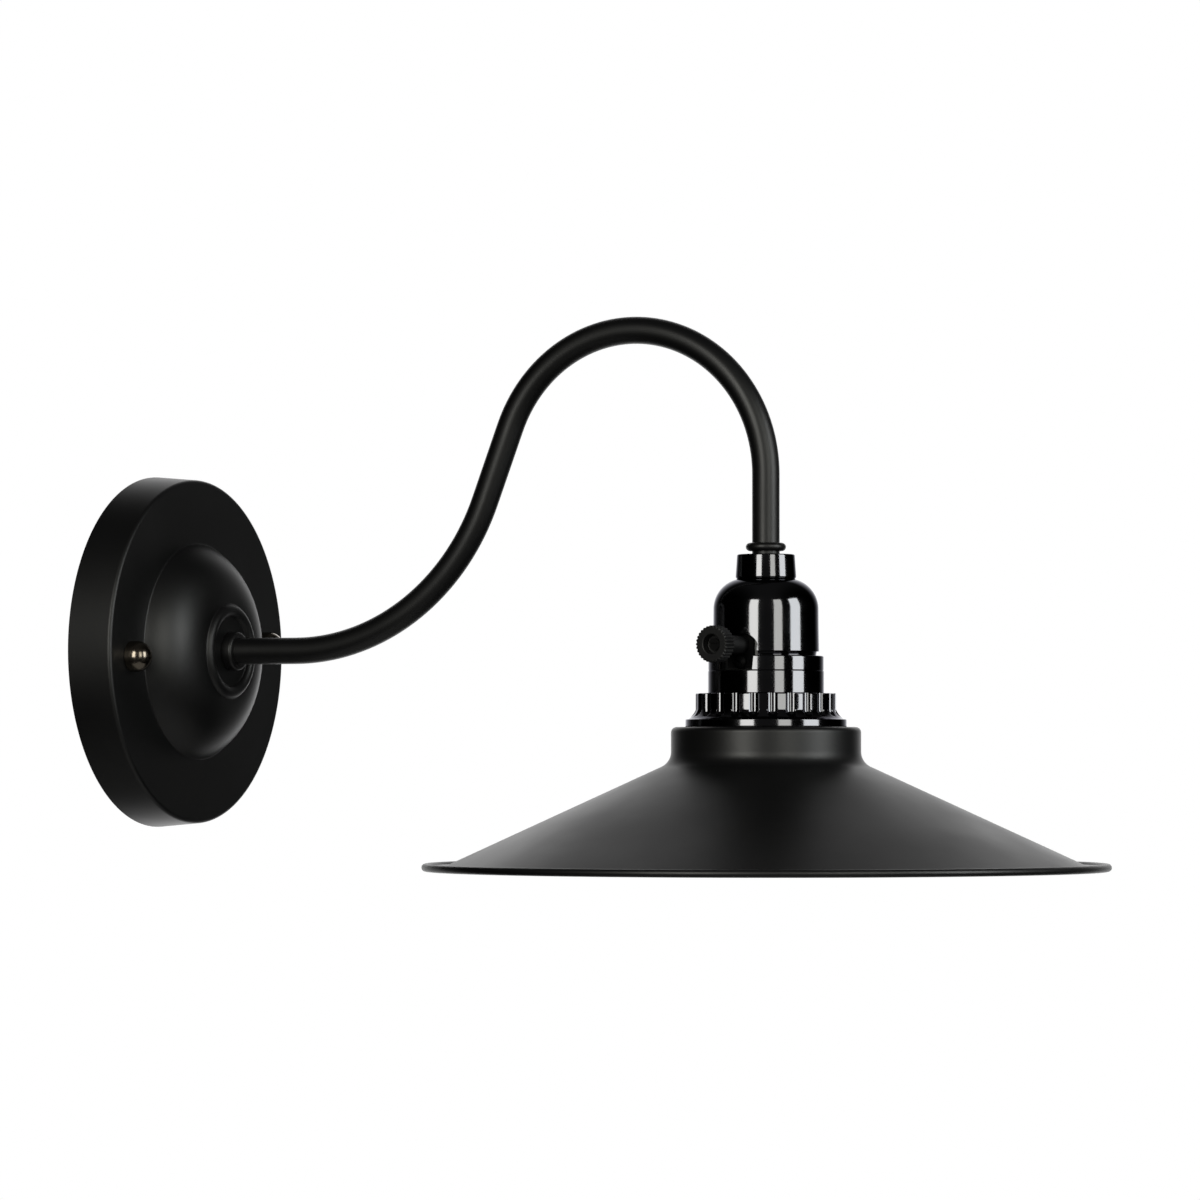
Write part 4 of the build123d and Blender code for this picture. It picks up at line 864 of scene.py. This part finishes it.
# A flute is a cylinder of the tool's radius, which ends in a ball below the flutes' foot.
ring_turn = np.linspace(0, 2 * pi, 28 * flutes, endpoint=False)[None]
flute_pitch = 2 * pi / flutes
from_flute = (ring_turn + flute_pitch / 2) % flute_pitch - flute_pitch / 2
flute_axis = ring_side + flute_tool - flute_depth
below = np.clip(flute_foot - ring_outline[:, 1:], 0, 3)
tool = np.sqrt(np.clip(flute_tool**2 - below**2, 0, None))
aside = flute_axis * np.sin(from_flute)
bite = flute_axis * np.cos(from_flute) - np.sqrt(np.clip(tool**2 - aside**2, 0, None))
cut = (np.abs(aside) < tool) & (ring_outline[:, :1] > 24.0)
ring_out = np.minimum(ring_outline[:, :1], np.where(cut, bite, np.inf))
surface(
    "fluted_shade_ring",
    about(lamp_axis, up, room, ring_out, ring_outline[:, 1:], ring_turn),
    "body",
    ["upper_shade_ring"],
    black_nickel,
)

# ---------------------------------------------------------------- shade
# The shade is spun from 1 mm steel: a flat top with the lampholder's hole, a short neck, a
# shallow cone and a flat lip whose edge is rolled into a bead. It has the canopy's coat.

shade_hole, shade_sheet = 20.4, 1.0
neck_side, neck_foot = 34.5, -42.0
lip_inside, lip_outside = 116.2, 122.2
lip_level = neck_foot - (lip_inside - neck_side) * tan(radians(24.7))
shade_outside = rounded(
    [(shade_hole, shade_top, 0), (neck_side, shade_top, 2.0), (neck_side, neck_foot, 6.0)]
    + [(lip_inside, lip_level, 6.0), (lip_outside, lip_level, 0)],
    12,
)
roll_middle, roll_radius = 123.6, 1.4
lip_roll = arc((roll_middle, lip_level - shade_sheet / 2), roll_radius, 158, -158, 36)
shade_inside = rounded(
    [(lip_outside, lip_level - shade_sheet, 0), (115.8, lip_level - shade_sheet, 5.0)]
    + [(neck_side - shade_sheet, neck_foot - 0.55, 5.0)]
    + [(neck_side - shade_sheet, shade_top - shade_sheet, 1.0)]
    + [(shade_hole, shade_top - shade_sheet, 0)],
    12,
)
shade_loop = np.vstack([shade_outside, lip_roll, shade_inside])
surface(
    "spun_shade",
    turned(shade_loop, lamp_axis, up, room, 320),
    "body",
    ["shade"],
    powder_coat,
)

# ---------------------------------------------------------------- lower shade ring
# The ring that pulls the shade up against the fluted one: turned and plated like it, with a
# flange that bears on the shade and a plain body for the fingers.

shade_under = shade_top - shade_sheet
bearer_side, bearer_foot = 28.0, -32.6  # the flange
grip_side, grip_foot = 23.5, -38.2  # the plain body
lower_outline = rounded(
    [(skirt_fit, shade_under, 0), (bearer_side, shade_under, 0.3)]
    + [(bearer_side, bearer_foot, 0.3), (grip_side, bearer_foot, 0.4)]
    + [(grip_side, grip_foot, 0.6), (skirt_fit, grip_foot, 0)]
)
surface(
    "lower_shade_ring_nut",
    turned(lower_outline, lamp_axis, up, room, 160),
    "body",
    ["lower_shade_ring"],
    black_nickel,
)

# ---------------------------------------------------------------- studio
# A pale floor well below the lamp, a white surround, and three tall softboxes on the camera's
# side. The photograph's reflections place them: each upright strip on the lampholder lies
# where its surface turns half way from the camera to a softbox.

# White paper. The lamps are too low to light it evenly, so to the camera alone it also glows.
paper, tree, _ = new_finish("white_paper_floor")
seen = add_node(tree, "ShaderNodeLightPath").outputs["Is Camera Ray"]
glow = add_node(tree, "ShaderNodeMath", {1: 0.62}, {0: seen}, operation="MULTIPLY")
sheet = add_node(
    tree,
    "ShaderNodeBsdfPrincipled",
    {"Base Color": linear("#d9d9d9"), "Roughness": 0.8, "Emission Color": linear("#ffffff")},
    {"Emission Strength": glow.outputs["Value"]},
)
add_node(tree, "ShaderNodeOutputMaterial", links={"Surface": sheet.outputs["BSDF"]})

left, right, front, back, ground = -1.1, 0.9, -1.4, 0.6, -1.4
corners = [(left, front), (right, front), (right, back), (left, back)]
floor_data = bpy.data.meshes.new("floor")
floor_data.from_pydata([(*corner, ground) for corner in corners], [], [(0, 1, 2, 3)])
floor_data.materials.append(paper)
floor = bpy.data.objects.new("floor", floor_data)
bpy.context.scene.collection.objects.link(floor)


def bearing(angle):
    """A level direction, this many degrees to the right of the camera as the lamp sees it."""
    turn = radians(angle) - pi / 2 - view_turn
    return Vector((cos(turn), sin(turn), 0))


def softbox(name, angle, width, power, colour):
    """An upright soft light, 1.1 m tall and 1.5 m from the lamp, that faces the lamp."""
    light = bpy.data.lights.new(name, "AREA")
    light.shape = "RECTANGLE"
    light.size, light.size_y = width, 1.1
    light.energy = power
    light.color = linear(colour)[:3]
    box = bpy.data.objects.new(name, light)
    box.location = Vector((0, -reach * mm, 0.4)) + bearing(angle) * 1.5
    box.rotation_euler = (-bearing(angle)).to_track_quat("-Z", "Y").to_euler()
    bpy.context.scene.collection.objects.link(box)


softbox("left_softbox", -28.4, 0.52, 8.6, "#fffef6")
softbox("middle_softbox", 24.8, 0.48, 4.8, "#fffff6")
softbox("right_softbox", 65.8, 0.67, 10.4, "#fafdfb")

# The surround is white behind the lamp and falls off to its sides and above, and it is nearly
# dark on the camera's side, so black parts stay black and brighten only where they are seen
# edge on. The camera itself sees plain white.
world = bpy.data.worlds.new("studio")
bpy.context.scene.world = world
world.use_nodes = True
tree = world.node_tree
tree.nodes.clear()
direction = add_node(tree, "ShaderNodeTexCoord").outputs["Generated"]
behind = add_node(
    tree, "ShaderNodeVectorMath", {1: -bearing(0)}, {0: direction}, operation="DOT_PRODUCT"
)
level = add_node(
    tree,
    "ShaderNodeMapRange",
    {"From Min": 0.6, "From Max": 1.0, "To Min": 0.03, "To Max": 1.7},
    {"Value": behind.outputs["Value"]},
    interpolation_type="SMOOTHSTEP",
)
beside = add_node(
    tree, "ShaderNodeVectorMath", {1: bearing(90)}, {0: direction}, operation="DOT_PRODUCT"
)
off_middle = add_node(
    tree, "ShaderNodeMath", links={0: beside.outputs["Value"]}, operation="ABSOLUTE"
)
narrow = add_node(
    tree,
    "ShaderNodeMapRange",
    {"From Min": 0.15, "From Max": 0.85, "To Min": 1.0, "To Max": 0.02},
    {"Value": off_middle.outputs["Value"]},
    interpolation_type="SMOOTHSTEP",
)
backdrop = add_node(
    tree,
    "ShaderNodeMath",
    links={0: level.outputs["Result"], 1: narrow.outputs["Result"]},
    operation="MULTIPLY",
)
seen = add_node(tree, "ShaderNodeLightPath").outputs["Is Camera Ray"]
brightness = add_node(
    tree,
    "ShaderNodeMix",
    {"B": 1.0},
    {"Factor": seen, "A": backdrop.outputs["Value"]},
    data_type="FLOAT",
)
sky = add_node(
    tree,
    "ShaderNodeBackground",
    {"Color": linear("#ffffff")},
    {"Strength": brightness.outputs["Result"]},
)
add_node(tree, "ShaderNodeOutputWorld", links={"Surface": sky.outputs["Background"]})

# The picture's tones follow the light without a film curve, so the white stays white.
bpy.context.scene.view_settings.view_transform = "Standard"
